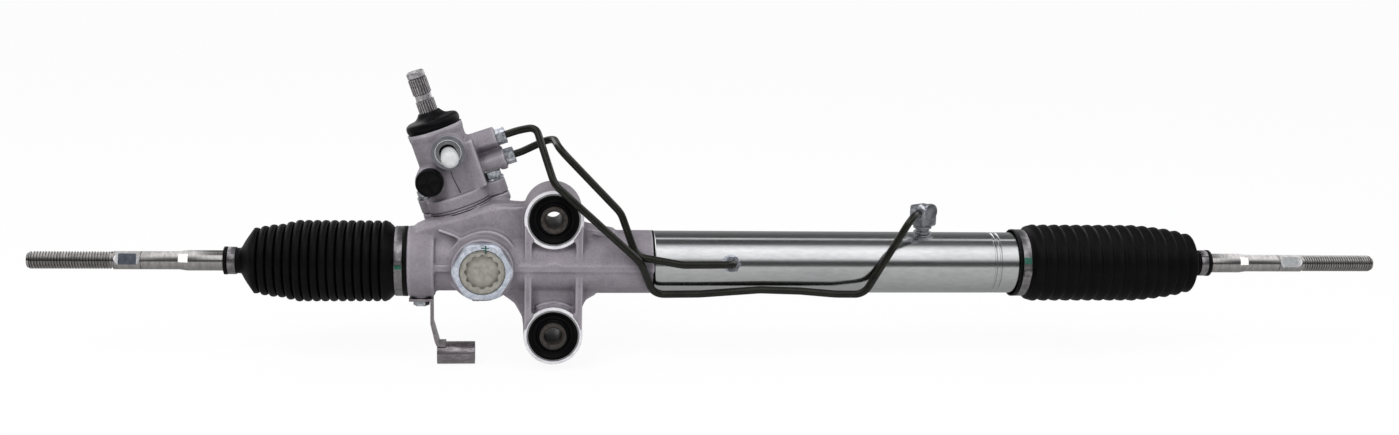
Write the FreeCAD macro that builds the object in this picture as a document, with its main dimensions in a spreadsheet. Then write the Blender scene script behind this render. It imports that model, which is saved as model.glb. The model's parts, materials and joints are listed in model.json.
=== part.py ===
"""Hydraulic rack and pinion steering gear with two tie rods, in millimetres.

The frame has +X along the rack to the long cylinder side, +Y to the rear and +Z up.
Its origin is the centre of the upper mounting bore; the rack axis lies rack_drop below it.
The tower frame of the pinion has its own directions: across (to the pipe side), rear and up
along the pinion axis, measured from where that axis passes the rack.
"""
import FreeCAD
import Part
import math
import os

import Sketcher

SIZES = {
    # Rack, its travel and where the joints of the tie rods lie
    "rack_drop": 45.0,
    "rack_radius": 13.0,
    "rack_travel": 76.0,
    "left_ball_x": -218.0,
    "right_ball_x": 564.0,
    "running_gap": 0.03,
    "soft_gap": 0.3,
    # Gear teeth
    "tooth_module": 2.0,
    "pinion_teeth": 7.0,
    "profile_shift": 0.5,
    "pressure_angle": 25.0,
    "tip_height": 2.5,
    "root_clearance": 0.4,
    "backlash": 0.1,
    "tooth_face": 30.0,
    "rack_gaps": 31.0,
    # Inner ball joints
    "ball_radius": 12.5,
    "seat_wall": 2.0,
    "socket_radius": 18.0,
    "socket_depth": 22.0,
    "socket_mouth": 6.5,
    "stud_radius": 8.0,
    "stud_length": 20.0,
    "washer_thick": 2.0,
    "washer_radius": 16.5,
    # Tie rods, measured outwards from the ball centre
    "rod_neck_radius": 6.0,
    "rod_neck_end": 20.0,
    "rod_body_start": 36.0,
    "rod_radius": 9.35,
    "rod_cone_start": 114.0,
    "rod_cone_end": 121.0,
    "shank_radius": 8.35,
    "thread_radius": 8.0,
    "flats_start": 155.0,
    "flats_end": 177.0,
    "flats_across": 13.2,
    "flats_turn": 30.0,
    "thread_start": 179.0,
    "rod_tip": 253.5,
    "thread_chamfer": 1.2,
    # Barrel of the cast housing
    "boot_seat_start": -150.0,
    "boot_seat_radius": 29.5,
    "boot_seat_end": -134.0,
    "shoulder_radius": 32.75,
    "shoulder_end": -109.0,
    "waist_radius": 27.5,
    "waist_end": -40.0,
    "barrel_radius": 29.2,
    "barrel_end_radius": 29.8,
    "barrel_end_start": 27.0,
    "rack_bore_radius": 14.6,
    "socket_recess_radius": 21.0,
    "stop_gap": 0.5,
    # Mounting bosses and ribs of the casting
    "mount_spacing": 110.0,
    "boss_radius": 27.5,
    "boss_front": -28.0,
    "boss_back": 28.0,
    "rib_inner_x": 20.0,
    "rib_outer_x": 26.8,
    "rib_front": -29.5,
    "web_front": -17.0,
    "web_back": 14.0,
    "parting_rib_front": -31.3,
    "parting_rib_height": 6.6,
    # Mounting bushes
    "bush_outer_radius": 24.5,
    "bush_shell": 1.4,
    "bush_core_radius": 12.5,
    "bush_groove": 3.4,
    "bush_rubber_inset": 1.2,
    "bolt_bore_radius": 8.2,
    "core_front": -31.0,
    "core_back": 31.0,
    "rubber_recess": 3.5,
    # Rack guide in front of the rack
    "guide_boss_radius": 28.5,
    "guide_boss_front": -37.0,
    "guide_ring_radius": 33.0,
    "guide_ring_front": -24.0,
    "guide_radius": 17.0,
    "guide_liner": 1.0,
    "guide_front": -24.0,
    "guide_back": -5.0,
    "guide_pocket_radius": 10.0,
    "guide_pocket_depth": 11.0,
    "guide_cap_radius": 21.0,
    "guide_cap_back": -27.0,
    "guide_cap_front": -45.5,
    "cap_socket_radius": 15.0,
    "cap_socket_depth": 9.0,
    "lock_nut_across": 50.5,
    "lock_nut_thick": 10.0,
    "lock_nut_chamfer": 2.3,
    "guide_pocket_floor": 4.75,
    "spring_radius": 7.6,
    "spring_wire": 2.6,
    "spring_turns": 4.0,
    "guide_x": -65.0,
    # Pinion tower
    "tower_x": -68.0,
    "tower_y": 15.5,
    "tower_tilt": 19.0,
    "tower_radius": 28.0,
    "tower_foot_radius": 21.5,
    "tower_foot": -36.5,
    "tower_step": -20.0,
    "tower_top": 53.0,
    "flange_low": 45.0,
    "flange_radius": 30.0,
    "ear_reach": 36.5,
    "ear_radius": 9.5,
    "ear_turn": 145.0,
    "pinion_bore_radius": 12.0,
    # Pinion and its bearings, heights along the tower
    "foot_journal_radius": 5.0,
    "foot_bearing_radius": 13.0,
    "foot_bearing_low": -27.0,
    "foot_bearing_high": -19.0,
    "foot_nut_across": 15.0,
    "foot_nut_low": -31.5,
    "foot_cap_radius": 17.0,
    "foot_cap_thick": 2.5,
    "neck_journal_radius": 10.0,
    "neck_bearing_radius": 18.5,
    "neck_bearing_low": 20.0,
    "neck_bearing_high": 29.0,
    "neck_seal_high": 36.0,
    "head_radius": 14.0,
    "head_low": 37.5,
    "head_high": 52.0,
    # Rotary valve
    "valve_radius": 25.0,
    "valve_flange_top": 67.0,
    "port_to_top": 22.0,
    "lip_height": 6.0,
    "lip_step": 0.7,
    "valve_bore_radius": 19.0,
    "sleeve_low": 55.0,
    "sleeve_above_port": 4.0,
    "sleeve_gap": 0.4,
    "sleeve_bore_radius": 11.0,
    "sleeve_ring_depth": 2.0,
    "sleeve_ring_width": 2.0,
    "upper_bearing_radius": 14.0,
    "upper_bearing_depth": 16.0,
    "upper_bearing_height": 8.0,
    "upper_seal_depth": 1.0,
    "shaft_radius": 9.0,
    "spline_radius": 8.65,
    "shaft_rise": 55.2,
    "spline_end_land": 6.5,
    "pinch_groove_rise": 27.7,
    "pinch_groove_width": 5.0,
    "pinch_groove_radius": 7.5,
    "shaft_well": 10.15,
    "shaft_entry": 9.43,
    "shaft_bore_radius": 3.4,
    "torsion_radius": 2.6,
    "torsion_end_radius": 3.38,
    "torsion_low": 12.0,
    "torsion_rise": 48.0,
    "torsion_head": 14.0,
    "cover_radius": 25.2,
    "cover_rim": 7.5,
    "cover_height": 16.0,
    "cover_neck_radius": 10.4,
    # Ports of the valve housing, across and up along the tower
    "pressure_across": 7.0,
    "pressure_up": 108.0,
    "pressure_boss_radius": 15.75,
    "pressure_face": -31.5,
    "pressure_seat_radius": 11.0,
    "port_bore_radius": 8.0,
    "plug_length": 20.0,
    "return_across": -18.0,
    "return_up": 87.0,
    "return_boss_radius": 13.6,
    "return_face": -24.7,
    "return_cap_radius": 12.8,
    "return_cap_thick": 10.0,
    "return_bore_radius": 7.0,
    "stem_depth": 9.0,
    "plug_wall": 2.0,
    "cap_slot_width": 2.4,
    "cap_slot_depth": 3.0,
    "seat_lip": 0.8,
    "seat_depth": 3.0,
    "port_block_width": 30.0,
    "port_block_front": -20.0,
    "port_block_back": 10.0,
    "high_port_up": 103.5,
    "high_port_end": 51.0,
    "low_port_up": 83.5,
    "low_port_end": 53.0,
    "turn_boss_radius": 10.8,
    "flange_bolt_head": 8.0,
    "flange_bolt_radius": 5.0,
    "flange_bolt_hexagon": 14.0,
    "flange_washer_radius": 9.5,
    "flange_washer_thick": 1.8,
    "flange_spot_radius": 10.5,
    # Cylinder
    "tube_start": 93.5,
    "tube_radius": 29.4,
    "tube_wall": 3.9,
    "spigot_length": 25.0,
    "inner_seal_start": 103.0,
    "inner_seal_length": 9.0,
    "seal_radius": 20.0,
    "stopper_start": 405.0,
    "end_seal_length": 9.0,
    "piston_x": 259.0,
    "piston_length": 18.0,
    "piston_gap": 0.25,
    "piston_ring_width": 4.0,
    "piston_ring_depth": 3.0,
    "snap_ring_radius": 15.5,
    "snap_ring_thick": 1.6,
    "crimp_x": 424.0,
    "crimp_depth": 0.6,
    # Pipes and their fittings
    "pipe_radius": 3.5,
    "pipe_bore_radius": 2.6,
    "bend_radius": 11.0,
    "pipe_inset": 5.0,
    "low_port_reach": 16.0,
    "high_port_reach": 22.0,
    "tube_port_reach": 25.0,
    "tube_port_inset": 3.0,
    "union_reach": 30.0,
    "union_inset": 6.0,
    "flare_nut_across": 13.5,
    "flare_nut_length": 9.0,
    "left_port_x": 164.5,
    "left_port_rise": 10.0,
    "left_port_radius": 8.5,
    "left_port_height": 5.0,
    "union_x": 354.0,
    "union_neck_radius": 7.0,
    "union_low": 7.0,
    "union_size": 20.0,
    "union_height": 21.5,
    "union_port_up": 14.62,
    "union_turn": 30.0,
    # Boots with their bands
    "boot_wall": 1.4,
    "left_boot_peak_x": -154.0,
    "left_boot_pitch": 7.8,
    "left_boot_folds": 16.0,
    "right_boot_start": 444.0,
    "right_boot_peak_x": 464.0,
    "right_boot_pitch": 11.2,
    "right_boot_folds": 15.0,
    "boot_radius": 37.6,
    "left_fold_depth": 6.2,
    "right_fold_depth": 5.0,
    "collar_wall": 2.0,
    "clamp_thick": 1.0,
    "clamp_width": 7.2,
    "right_clamp_width": 8.0,
    "boot_bead": 1.2,
    "left_bead_width": 3.8,
    "right_bead_width": 3.0,
    "right_collar_end": 5.0,
    "right_clamp_start": 3.2,
    "left_cone": 12.0,
    "left_neck": 25.2,
    "left_neck_lip": 28.4,
    "left_clip_end": 17.6,
    "right_cone": 12.0,
    "right_neck": 21.8,
    "right_neck_lip": 25.4,
    "right_clip_start": 14.4,
    "cone_bore_gap": 2.0,
    "clip_width": 7.0,
    "clip_thick": 0.9,
    "boot_neck_radius": 11.7,
    # Hose bracket under the barrel
    "bracket_x": -90.0,
    "bracket_drop": 88.5,
    "bracket_sleeve_radius": 10.5,
    "bracket_sleeve_length": 35.0,
    "bracket_sheet": 2.5,
    "bracket_width": 18.0,
    "bracket_tab_x": -122.0,
    "bracket_tab_length": 22.0,
    "pad_height": 1.6,
    "pad_radius": 9.0,
    "bracket_bolt_radius": 4.0,
    "bracket_bolt_across": 13.0,
    "bracket_bolt_head": 5.0,
    "bracket_bolt_reach": 8.0,
    "bracket_strap_drop": 24.0,
    "bracket_strap_lap": 8.0,
    "bracket_bend": 1.0,
}

# How much lower than the full radius the last peaks of each boot are, from the inner one out
LEFT_TAPER = (1.6, 3.6, 4.3, 5.6, 7.3)
RIGHT_TAPER = (2.0, 3.6, 5.6, 9.0)

# Corners of the pipe from the lower valve port, in the rack's frame
LOW_PIPE_CORNERS = (
    (-1.0, 15.5, 115.6),
    (4.5, -24.0, 110.0),
    (60.8, -31.0, 52.6),
    (75.5, -34.8, 12.5),
    (118.0, -45.0, 7.0),
)

# Corners of the pipe from the upper valve port, in the rack's frame, down to the tube
HIGH_PIPE_CORNERS = (
    (-17.0, 8.0, 125.8),
    (-0.5, -38.0, 80.0),
    (79.2, -43.0, 8.5),
)

# Corners of that pipe along the tube: X, clear gap to the tube, degrees below the front
TUBE_RUN_CORNERS = (
    (92.9, 4.03, 43.03),
    (136.6, 3.76, 42.57),
    (193.4, 1.18, 37.61),
    (231.7, 1.93, 39.17),
    (265.4, 4.13, 42.04),
    (292.0, 7.67, 35.57),
)

for index, drop in enumerate(LEFT_TAPER):
    SIZES["left_taper_%s" % "abcde"[index]] = drop
for index, drop in enumerate(RIGHT_TAPER):
    SIZES["right_taper_%s" % "abcde"[index]] = drop
for index, (x, y, z) in enumerate(LOW_PIPE_CORNERS):
    for part, size in (("x", x), ("y", y), ("z", z)):
        SIZES["low_pipe_%s_%s" % ("abcde"[index], part)] = size
for index, (x, y, z) in enumerate(HIGH_PIPE_CORNERS):
    for part, size in (("x", x), ("y", y), ("z", z)):
        SIZES["high_pipe_%s_%s" % ("abcde"[index], part)] = size
for index, (x, gap, turn) in enumerate(TUBE_RUN_CORNERS):
    for part, size in (("x", x), ("gap", gap), ("turn", turn)):
        SIZES["tube_run_%s_%s" % ("abcdef"[index], part)] = size

X_AXIS = FreeCAD.Vector(1, 0, 0)
Y_AXIS = FreeCAD.Vector(0, 1, 0)
Z_AXIS = FreeCAD.Vector(0, 0, 1)

doc = FreeCAD.newDocument("SteeringRack")
sheet = doc.addObject("Spreadsheet::Sheet", "Dims")
for row, (alias, value) in enumerate(SIZES.items(), start=1):
    sheet.set("A%d" % row, alias)
    sheet.set("B%d" % row, str(value))
    sheet.setAlias("B%d" % row, alias)
doc.recompute()


class Size:
    """A length or angle that keeps the sheet expression it was worked out from."""

    def __init__(self, number, text):
        self.number = float(number)
        self.text = text

    def __add__(self, other):
        return Size(self.number + value_of(other), "(%s + %s)" % (self.text, text_of(other)))

    def __sub__(self, other):
        return Size(self.number - value_of(other), "(%s - %s)" % (self.text, text_of(other)))

    def __mul__(self, other):
        return Size(self.number * value_of(other), "(%s * %s)" % (self.text, text_of(other)))

    def __truediv__(self, other):
        return Size(self.number / value_of(other), "(%s / %s)" % (self.text, text_of(other)))

    def __radd__(self, other):
        return self + other

    def __rsub__(self, other):
        return self * -1 + other

    def __rmul__(self, other):
        return self * other

    def __neg__(self):
        return self * -1


def value_of(size):
    """The plain number of a Size or a number."""
    return size.number if isinstance(size, Size) else float(size)


def text_of(size):
    """The expression text of a Size or a number."""
    return size.text if isinstance(size, Size) else "(%r)" % float(size)


def cosine(angle):
    """Cosine of an angle in degrees, still bound to the sheet."""
    return Size(math.cos(math.radians(value_of(angle))), "cos(%s * 1 deg)" % text_of(angle))


def sine(angle):
    """Sine of an angle in degrees, still bound to the sheet."""
    return Size(math.sin(math.radians(value_of(angle))), "sin(%s * 1 deg)" % text_of(angle))


def root(size):
    """Square root of a Size, still bound to the sheet."""
    return Size(math.sqrt(value_of(size)), "sqrt(%s)" % text_of(size))


class Sheet:
    """Gives each named dimension of the sheet as a Size."""

    def __getattr__(self, alias):
        return Size(getattr(sheet, alias), "Dims.%s" % alias)


S = Sheet()
TILT_COS = cosine(S.tower_tilt)
TILT_SIN = sine(S.tower_tilt)

UPRIGHT = (Z_AXIS, 0.0)
ALONG_X = (Y_AXIS, 90.0)
TO_FRONT = (X_AXIS, 90.0)
TO_REAR = (X_AXIS, -90.0)
UP_TOWER = (Y_AXIS, -S.tower_tilt)
ACROSS_TOWER = (Y_AXIS, 90.0 - S.tower_tilt)


def rack_point(x, y, z):
    """A point of the rack's own frame, given in the part's frame."""
    return (x, y, z - S.rack_drop)


def tower_point(across, rear, up):
    """A point of the tower's frame, given in the part's frame."""
    x = S.tower_x + across * TILT_COS - up * TILT_SIN
    z = across * TILT_SIN + up * TILT_COS
    return rack_point(x, S.tower_y + rear, z)


def put(item, point, direction=UPRIGHT):
    """Bind an object's placement to a point and a turn about one axis."""
    axis, angle = direction
    turn = FreeCAD.Rotation(FreeCAD.Vector(*[value_of(size) for size in axis]), value_of(angle))
    item.Placement = FreeCAD.Placement(FreeCAD.Vector(*[value_of(size) for size in point]), turn)
    for name, size in zip("xyz", point):
        item.setExpression("Placement.Base.%s" % name, text_of(size))
    if isinstance(angle, Size):
        item.setExpression("Placement.Rotation.Angle", angle.text)
    return item


def bind(item, **sizes):
    """Bind properties of an object to the sheet."""
    for name, size in sizes.items():
        item.setExpression(name, text_of(size))
    return item


def cylinder(name, radius, length, point, direction=UPRIGHT):
    """A plain cylinder from a point along a direction."""
    item = doc.addObject("Part::Cylinder", name)
    bind(item, Radius=radius, Height=length)
    return put(item, point, direction)


def ball(name, radius, point):
    """A sphere about a point."""
    item = doc.addObject("Part::Sphere", name)
    bind(item, Radius=radius)
    return put(item, point)


def box(name, sizes, point, direction=UPRIGHT):
    """A box from its low corner."""
    item = doc.addObject("Part::Box", name)
    bind(item, Length=sizes[0], Width=sizes[1], Height=sizes[2])
    return put(item, point, direction)


def hexagon(name, across, length, point, direction=UPRIGHT):
    """A six-sided bar given by its width across flats."""
    item = doc.addObject("Part::Prism", name)
    item.Polygon = 6
    bind(item, Circumradius=across / root(Size(3, "3")), Height=length)
    return put(item, point, direction)


def fuse(name, *items):
    """One solid joined from several."""
    item = doc.addObject("Part::MultiFuse", name)
    item.Shapes = list(items)
    item.Refine = True
    return item


def cut(name, base, *tools):
    """A solid with others taken out of it."""
    tool = tools[0] if len(tools) == 1 else fuse(name + "_tools", *tools)
    item = doc.addObject("Part::Cut", name)
    item.Base = base
    item.Tool = tool
    item.Refine = True
    return item


def set_of(name, *items):
    """Several separate solids kept in one object."""
    item = doc.addObject("Part::Compound", name)
    item.Links = list(items)
    return item


def closed_sketch(body, plane_role, outline):
    """A closed outline whose every corner is bound to the sheet."""
    plane = [item for item in body.Origin.OriginFeatures if item.Role == plane_role][0]
    sketch = body.newObject("Sketcher::SketchObject", body.Name + "_outline")
    sketch.AttachmentSupport = (plane, [""])
    sketch.MapMode = "FlatFace"
    corners = [FreeCAD.Vector(value_of(u), value_of(v), 0) for u, v in outline]
    count = len(corners)
    for index in range(count):
        sketch.addGeometry(Part.LineSegment(corners[index], corners[(index + 1) % count]), False)
    for index in range(count):
        sketch.addConstraint(Sketcher.Constraint("Coincident", index, 2, (index + 1) % count, 1))
    for index, corner in enumerate(outline):
        for kind, size, line in (("DistanceX", corner[0], -2), ("DistanceY", corner[1], -1)):
            if not isinstance(size, Size) and float(size) == 0.0:
                sketch.addConstraint(Sketcher.Constraint("PointOnObject", index, 1, line))
                continue
            limit = Sketcher.Constraint(kind, -1, 1, index, 1, value_of(size))
            number = sketch.addConstraint(limit)
            sketch.setExpression("Constraints[%d]" % number, text_of(size))
    return sketch


def turned(name, axis, profile, point, direction=UPRIGHT):
    """A turned body; its profile lists places along the local X, Y or Z axis with radii."""
    body = doc.addObject("PartDesign::Body", name)
    if axis == "X":
        sketch = closed_sketch(body, "XZ_Plane", profile)
        line = "H_Axis"
    else:
        role = "XZ_Plane" if axis == "Z" else "XY_Plane"
        sketch = closed_sketch(body, role, [(radius, along) for along, radius in profile])
        line = "V_Axis"
    revolution = body.newObject("PartDesign::Revolution", name + "_turning")
    revolution.Profile = sketch
    revolution.ReferenceAxis = (sketch, [line])
    revolution.Angle = 360
    body.Tip = revolution
    return put(body, point, direction)


def ring(name, axis, start, end, outer, inner, point, direction=UPRIGHT):
    """A plain turned ring."""
    profile = [(start, inner), (end, inner), (end, outer), (start, outer)]
    return turned(name, axis, profile, point, direction)


def plate(name, plane_role, outline, length, point, direction=UPRIGHT):
    """A flat outline padded along the positive local normal."""
    body = doc.addObject("PartDesign::Body", name)
    sketch = closed_sketch(body, plane_role, outline)
    pad = body.newObject("PartDesign::Pad", name + "_pad")
    pad.Profile = sketch
    bind(pad, Length=length)
    pad.Reversed = plane_role == "XZ_Plane"
    body.Tip = pad
    return put(body, point, direction)


def shaped(name, shape, point, direction=UPRIGHT):
    """A piece whose form is worked out from the sheet in this file."""
    item = doc.addObject("Part::Feature", name)
    item.Shape = shape
    return put(item, point, direction)


RACK = rack_point(0.0, 0.0, 0.0)
TOWER = tower_point(0.0, 0.0, 0.0)
WIDE = S.tube_radius * 7
VALVE_TOP = S.pressure_up + S.port_to_top
SLEEVE_TOP = S.pressure_up + S.sleeve_above_port
SHAFT_TIP = VALVE_TOP + S.shaft_rise
BEARING_LOW = VALVE_TOP - S.upper_bearing_depth
BEARING_HIGH = BEARING_LOW + S.upper_bearing_height
SEAL_HIGH = VALVE_TOP - S.upper_seal_depth
COVER_TOP = VALVE_TOP + S.cover_height
GROOVE_LOW = VALVE_TOP + S.pinch_groove_rise
GROOVE_HIGH = GROOVE_LOW + S.pinch_groove_width
TORSION_TOP = VALVE_TOP + S.torsion_rise


# Cast housing

def left_stop():
    """Where the left locking washer stops in its recess at full travel."""
    return rack_end(-1) + S.rack_travel + S.stop_gap


def tube_end():
    """End of the tube, just short of the right locking washer at full travel."""
    return rack_end(1) - S.rack_travel - S.stop_gap


def barrel_form():
    """Outside of the barrel with the boot seat, the shoulder and the spigot for the tube."""
    spigot_radius = S.tube_radius - S.tube_wall
    spigot_end = S.tube_start + S.spigot_length
    lip = 1.0
    profile = [
        (S.boot_seat_start, 0.0),
        (S.boot_seat_start, S.boot_seat_radius - lip),
        (S.boot_seat_start + lip, S.boot_seat_radius),
        (S.boot_seat_end, S.boot_seat_radius),
        (S.boot_seat_end, S.shoulder_radius - lip),
        (S.boot_seat_end + lip, S.shoulder_radius),
        (S.shoulder_end - lip, S.shoulder_radius),
        (S.shoulder_end, S.shoulder_radius - lip),
        (S.shoulder_end, S.waist_radius),
        (S.waist_end, S.waist_radius),
        (S.waist_end, S.barrel_radius),
        (S.barrel_end_start, S.barrel_radius),
        (S.barrel_end_start, S.barrel_end_radius),
        (S.tube_start, S.barrel_end_radius),
        (S.tube_start, spigot_radius),
        (spigot_end, spigot_radius),
        (spigot_end, 0.0),
    ]
    return turned("barrel_form", "X", profile, RACK)


def barrel_bore():
    """Inside of the barrel: socket recess, rack bore and the seat of the inner seal."""
    seal_end = S.tube_start + S.spigot_length
    profile = [
        (S.boot_seat_start - 1, 0.0),
        (S.boot_seat_start - 1, S.socket_recess_radius),
        (left_stop(), S.socket_recess_radius),
        (left_stop(), S.rack_bore_radius),
        (S.inner_seal_start, S.rack_bore_radius),
        (S.inner_seal_start, S.seal_radius),
        (seal_end + 1, S.seal_radius),
        (seal_end + 1, 0.0),
    ]
    return turned("barrel_bore", "X", profile, RACK)


def ear_plate(name, low, high, reach, radius):
    """The second flange ear, turned back about the tower axis."""
    turn_cos = cosine(S.ear_turn)
    turn_sin = sine(S.ear_turn)
    outline = [
        (radius * turn_sin, -radius * turn_cos),
        (radius * turn_sin + reach * turn_cos, -radius * turn_cos + reach * turn_sin),
        (-radius * turn_sin + reach * turn_cos, radius * turn_cos + reach * turn_sin),
        (-radius * turn_sin, radius * turn_cos),
    ]
    return plate(name, "XY_Plane", outline, high - low, tower_point(0.0, 0.0, low), UP_TOWER)


def flange(name, low, high):
    """The two-eared joint face shared by both castings of the tower."""
    back_across = S.ear_reach * cosine(S.ear_turn)
    back_rear = S.ear_reach * sine(S.ear_turn)
    height = high - low
    return [
        cylinder(name + "_disc", S.flange_radius, height, tower_point(0.0, 0.0, low), UP_TOWER),
        box(name + "_arm", (S.ear_reach, S.ear_radius * 2, height),
            tower_point(0.0, -S.ear_radius, low), UP_TOWER),
        cylinder(name + "_ear", S.ear_radius, height, tower_point(S.ear_reach, 0.0, low), UP_TOWER),
        ear_plate(name + "_back_arm", low, high, S.ear_reach, S.ear_radius),
        cylinder(name + "_back_ear", S.ear_radius, height,
                 tower_point(back_across, back_rear, low), UP_TOWER),
    ]


def flange_bolt_points(up):
    """Where the two flange bolts stand, at a height along the tower."""
    back_across = S.ear_reach * cosine(S.ear_turn)
    back_rear = S.ear_reach * sine(S.ear_turn)
    return [tower_point(S.ear_reach, 0.0, up), tower_point(back_across, back_rear, up)]


def mount_points(y):
    """The axes of the upper and lower mounting bores at one depth."""
    return [(0.0, y, 0.0), (0.0, y, -S.mount_spacing)]


def casting_webs():
    """Flat walls that tie the barrel, the tower and the two bosses together."""
    depth = S.web_back - S.web_front
    flange_left = S.tower_x - S.flange_low * TILT_SIN - S.flange_radius * TILT_COS
    flange_left_z = S.flange_low * TILT_COS - S.flange_radius * TILT_SIN
    flange_right = S.tower_x - S.flange_low * TILT_SIN + S.ear_reach * TILT_COS
    flange_right_z = S.flange_low * TILT_COS + S.ear_reach * TILT_SIN
    boss_left = -S.rib_outer_x
    lower_z = S.rack_drop - S.mount_spacing
    tower_wall = [
        (S.shoulder_end - 16, S.shoulder_radius - 2),
        (S.shoulder_end, S.shoulder_radius - 1),
        (S.shoulder_end + 25, S.waist_radius - 7),
        (S.shoulder_end + 44, 0.0),
        (boss_left, 0.0),
        (0.0, S.rack_drop),
        (boss_left * 0.55, S.rack_drop + S.boss_radius * 0.6),
        (boss_left, S.rack_drop + 10),
        (flange_right, flange_right_z),
        (flange_left, flange_left_z),
    ]
    lower_wall = [
        (boss_left - 25, -10.0),
        (boss_left - 21, S.waist_radius * -1),
        (boss_left - 9, S.waist_radius * -1 - 9),
        (boss_left - 2, S.waist_radius * -1 - 22),
        (boss_left, lower_z),
        (S.rib_outer_x, lower_z),
        (S.rib_outer_x, S.barrel_radius * -1 - 12),
        (S.rib_outer_x + 4, S.barrel_radius * -1 - 4),
        (S.rib_outer_x + 13, S.barrel_radius * -1 + 1),
        (S.rib_outer_x + 13, -10.0),
    ]
    right_wall = [
        (0.0, 0.0),
        (0.0, S.rack_drop),
        (S.rib_outer_x, S.rack_drop),
        (S.rib_outer_x, S.barrel_radius + 4),
        (S.rib_outer_x + 8, S.barrel_radius - 1),
        (S.rib_outer_x + 8, 0.0),
    ]
    walls = []
    for name, outline in (("tower_wall", tower_wall), ("lower_wall", lower_wall),
                          ("right_wall", right_wall)):
        walls.append(plate(name, "XZ_Plane", outline, depth, rack_point(0.0, S.web_front, 0.0)))
    return walls


def casting_ribs():
    """Two upright ribs from boss to boss and the parting rib along the barrel front."""
    width = S.rib_outer_x - S.rib_inner_x
    depth = S.web_front - S.rib_front + 1
    low = S.rack_drop - S.mount_spacing
    half = S.parting_rib_height / 2
    return [
        box("left_rib", (width, depth, S.mount_spacing),
            rack_point(-S.rib_outer_x, S.rib_front, low)),
        box("right_rib", (width, depth, S.mount_spacing),
            rack_point(S.rib_inner_x, S.rib_front, low)),
        box("parting_rib",
            (S.tube_start - S.shoulder_end, S.web_front - S.parting_rib_front,
             S.parting_rib_height),
            rack_point(S.shoulder_end, S.parting_rib_front, -half)),
    ]


def rack_housing():
    """The main casting with its barrel, bosses, guide boss and the foot of the tower."""
    boss_depth = S.boss_back - S.boss_front
    solids = [barrel_form()]
    solids += casting_webs()
    solids += casting_ribs()
    solids += flange("casting_flange", S.flange_low, S.tower_top)
    for side, point in zip(("upper", "lower"), mount_points(S.boss_front)):
        solids.append(cylinder(side + "_boss", S.boss_radius, boss_depth, point, TO_REAR))
    solids.append(cylinder("guide_boss", S.guide_boss_radius, -S.guide_boss_front,
                           rack_point(S.guide_x, 0.0, 0.0), TO_FRONT))
    solids.append(cylinder("guide_ring", S.guide_ring_radius, -S.guide_ring_front,
                           rack_point(S.guide_x, 0.0, 0.0), TO_FRONT))
    solids.append(cylinder("tower_body", S.tower_radius, S.flange_low - S.tower_step,
                           tower_point(0.0, 0.0, S.tower_step), UP_TOWER))
    solids.append(cylinder("tower_foot", S.tower_foot_radius, -S.tower_foot,
                           tower_point(0.0, 0.0, S.tower_foot), UP_TOWER))
    pad_bottom = -S.shoulder_radius - S.pad_height
    solids.append(cylinder("bracket_pad", S.pad_radius, -pad_bottom,
                           rack_point(S.bracket_tab_x, 0.0, pad_bottom)))
    tools = [barrel_bore()]
    for side, point in zip(("upper", "lower"), mount_points(S.boss_front - 1)):
        tools.append(cylinder(side + "_bush_bore", S.bush_outer_radius, boss_depth + 2, point,
                              TO_REAR))
    for side, point in zip(("upper", "lower"), mount_points(S.boss_front)):
        tools.append(cylinder(side + "_boss_cut", S.boss_radius, S.boss_front - S.rib_front + 1,
                              point, TO_FRONT))
    gap = S.running_gap
    tools.append(cylinder("guide_bore", S.guide_radius + gap, -S.guide_boss_front + 1,
                          rack_point(S.guide_x, 0.0, 0.0), TO_FRONT))
    tools.append(cylinder("guide_cap_bore", S.guide_cap_radius,
                          S.guide_cap_back - S.guide_boss_front + 3,
                          rack_point(S.guide_x, S.guide_cap_back + 2, 0.0), TO_FRONT))
    foot_cap_high = S.tower_foot + S.foot_cap_thick
    heights = (
        ("foot_cap_bore", S.foot_cap_radius, S.tower_foot - 1, S.foot_bearing_low),
        ("foot_bearing_bore", S.foot_bearing_radius, foot_cap_high, S.foot_bearing_high),
        ("pinion_bore", S.pinion_bore_radius, S.foot_bearing_high - 1, S.neck_bearing_low),
        ("neck_bearing_bore", S.neck_bearing_radius, S.neck_bearing_low, S.tower_top + 1),
    )
    for name, radius, low, high in heights:
        tools.append(cylinder(name, radius, high - low, tower_point(0.0, 0.0, low), UP_TOWER))
    for side, point in zip(("front", "back"), flange_bolt_points(S.flange_low - 1)):
        tools.append(cylinder(side + "_bolt_hole", S.flange_bolt_radius,
                              S.tower_top - S.flange_low + 2, point, UP_TOWER))
    tools.append(cylinder("bracket_bolt_hole", S.bracket_bolt_radius, 10.0,
                          rack_point(S.bracket_tab_x, 0.0, pad_bottom - 1)))
    return cut("rack_housing", fuse("rack_housing_form", *solids), *tools)


# Mounting bushes

def mounting_bush(side, point):
    """A bonded rubber bush: thin outer shell, rubber and thick inner sleeve."""
    shell_inner = S.bush_outer_radius - S.bush_shell
    front = S.boss_front
    back = S.boss_back
    groove = S.bush_core_radius + S.bush_groove
    inset = S.bush_rubber_inset
    rubber = [
        (front + S.rubber_recess, S.bush_core_radius),
        (front + S.rubber_recess, groove),
        (front + inset, groove + inset),
        (front + inset, shell_inner),
        (back - inset, shell_inner),
        (back - inset, groove + inset),
        (back - S.rubber_recess, groove),
        (back - S.rubber_recess, S.bush_core_radius),
    ]
    return [
        ring(side + "_bush_shell", "Y", front, back, S.bush_outer_radius, shell_inner, point),
        turned(side + "_bush_rubber", "Y", rubber, point),
        ring(side + "_bush_sleeve", "Y", S.core_front, S.core_back, S.bush_core_radius,
             S.bolt_bore_radius, point),
    ]


# Rack guide

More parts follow.
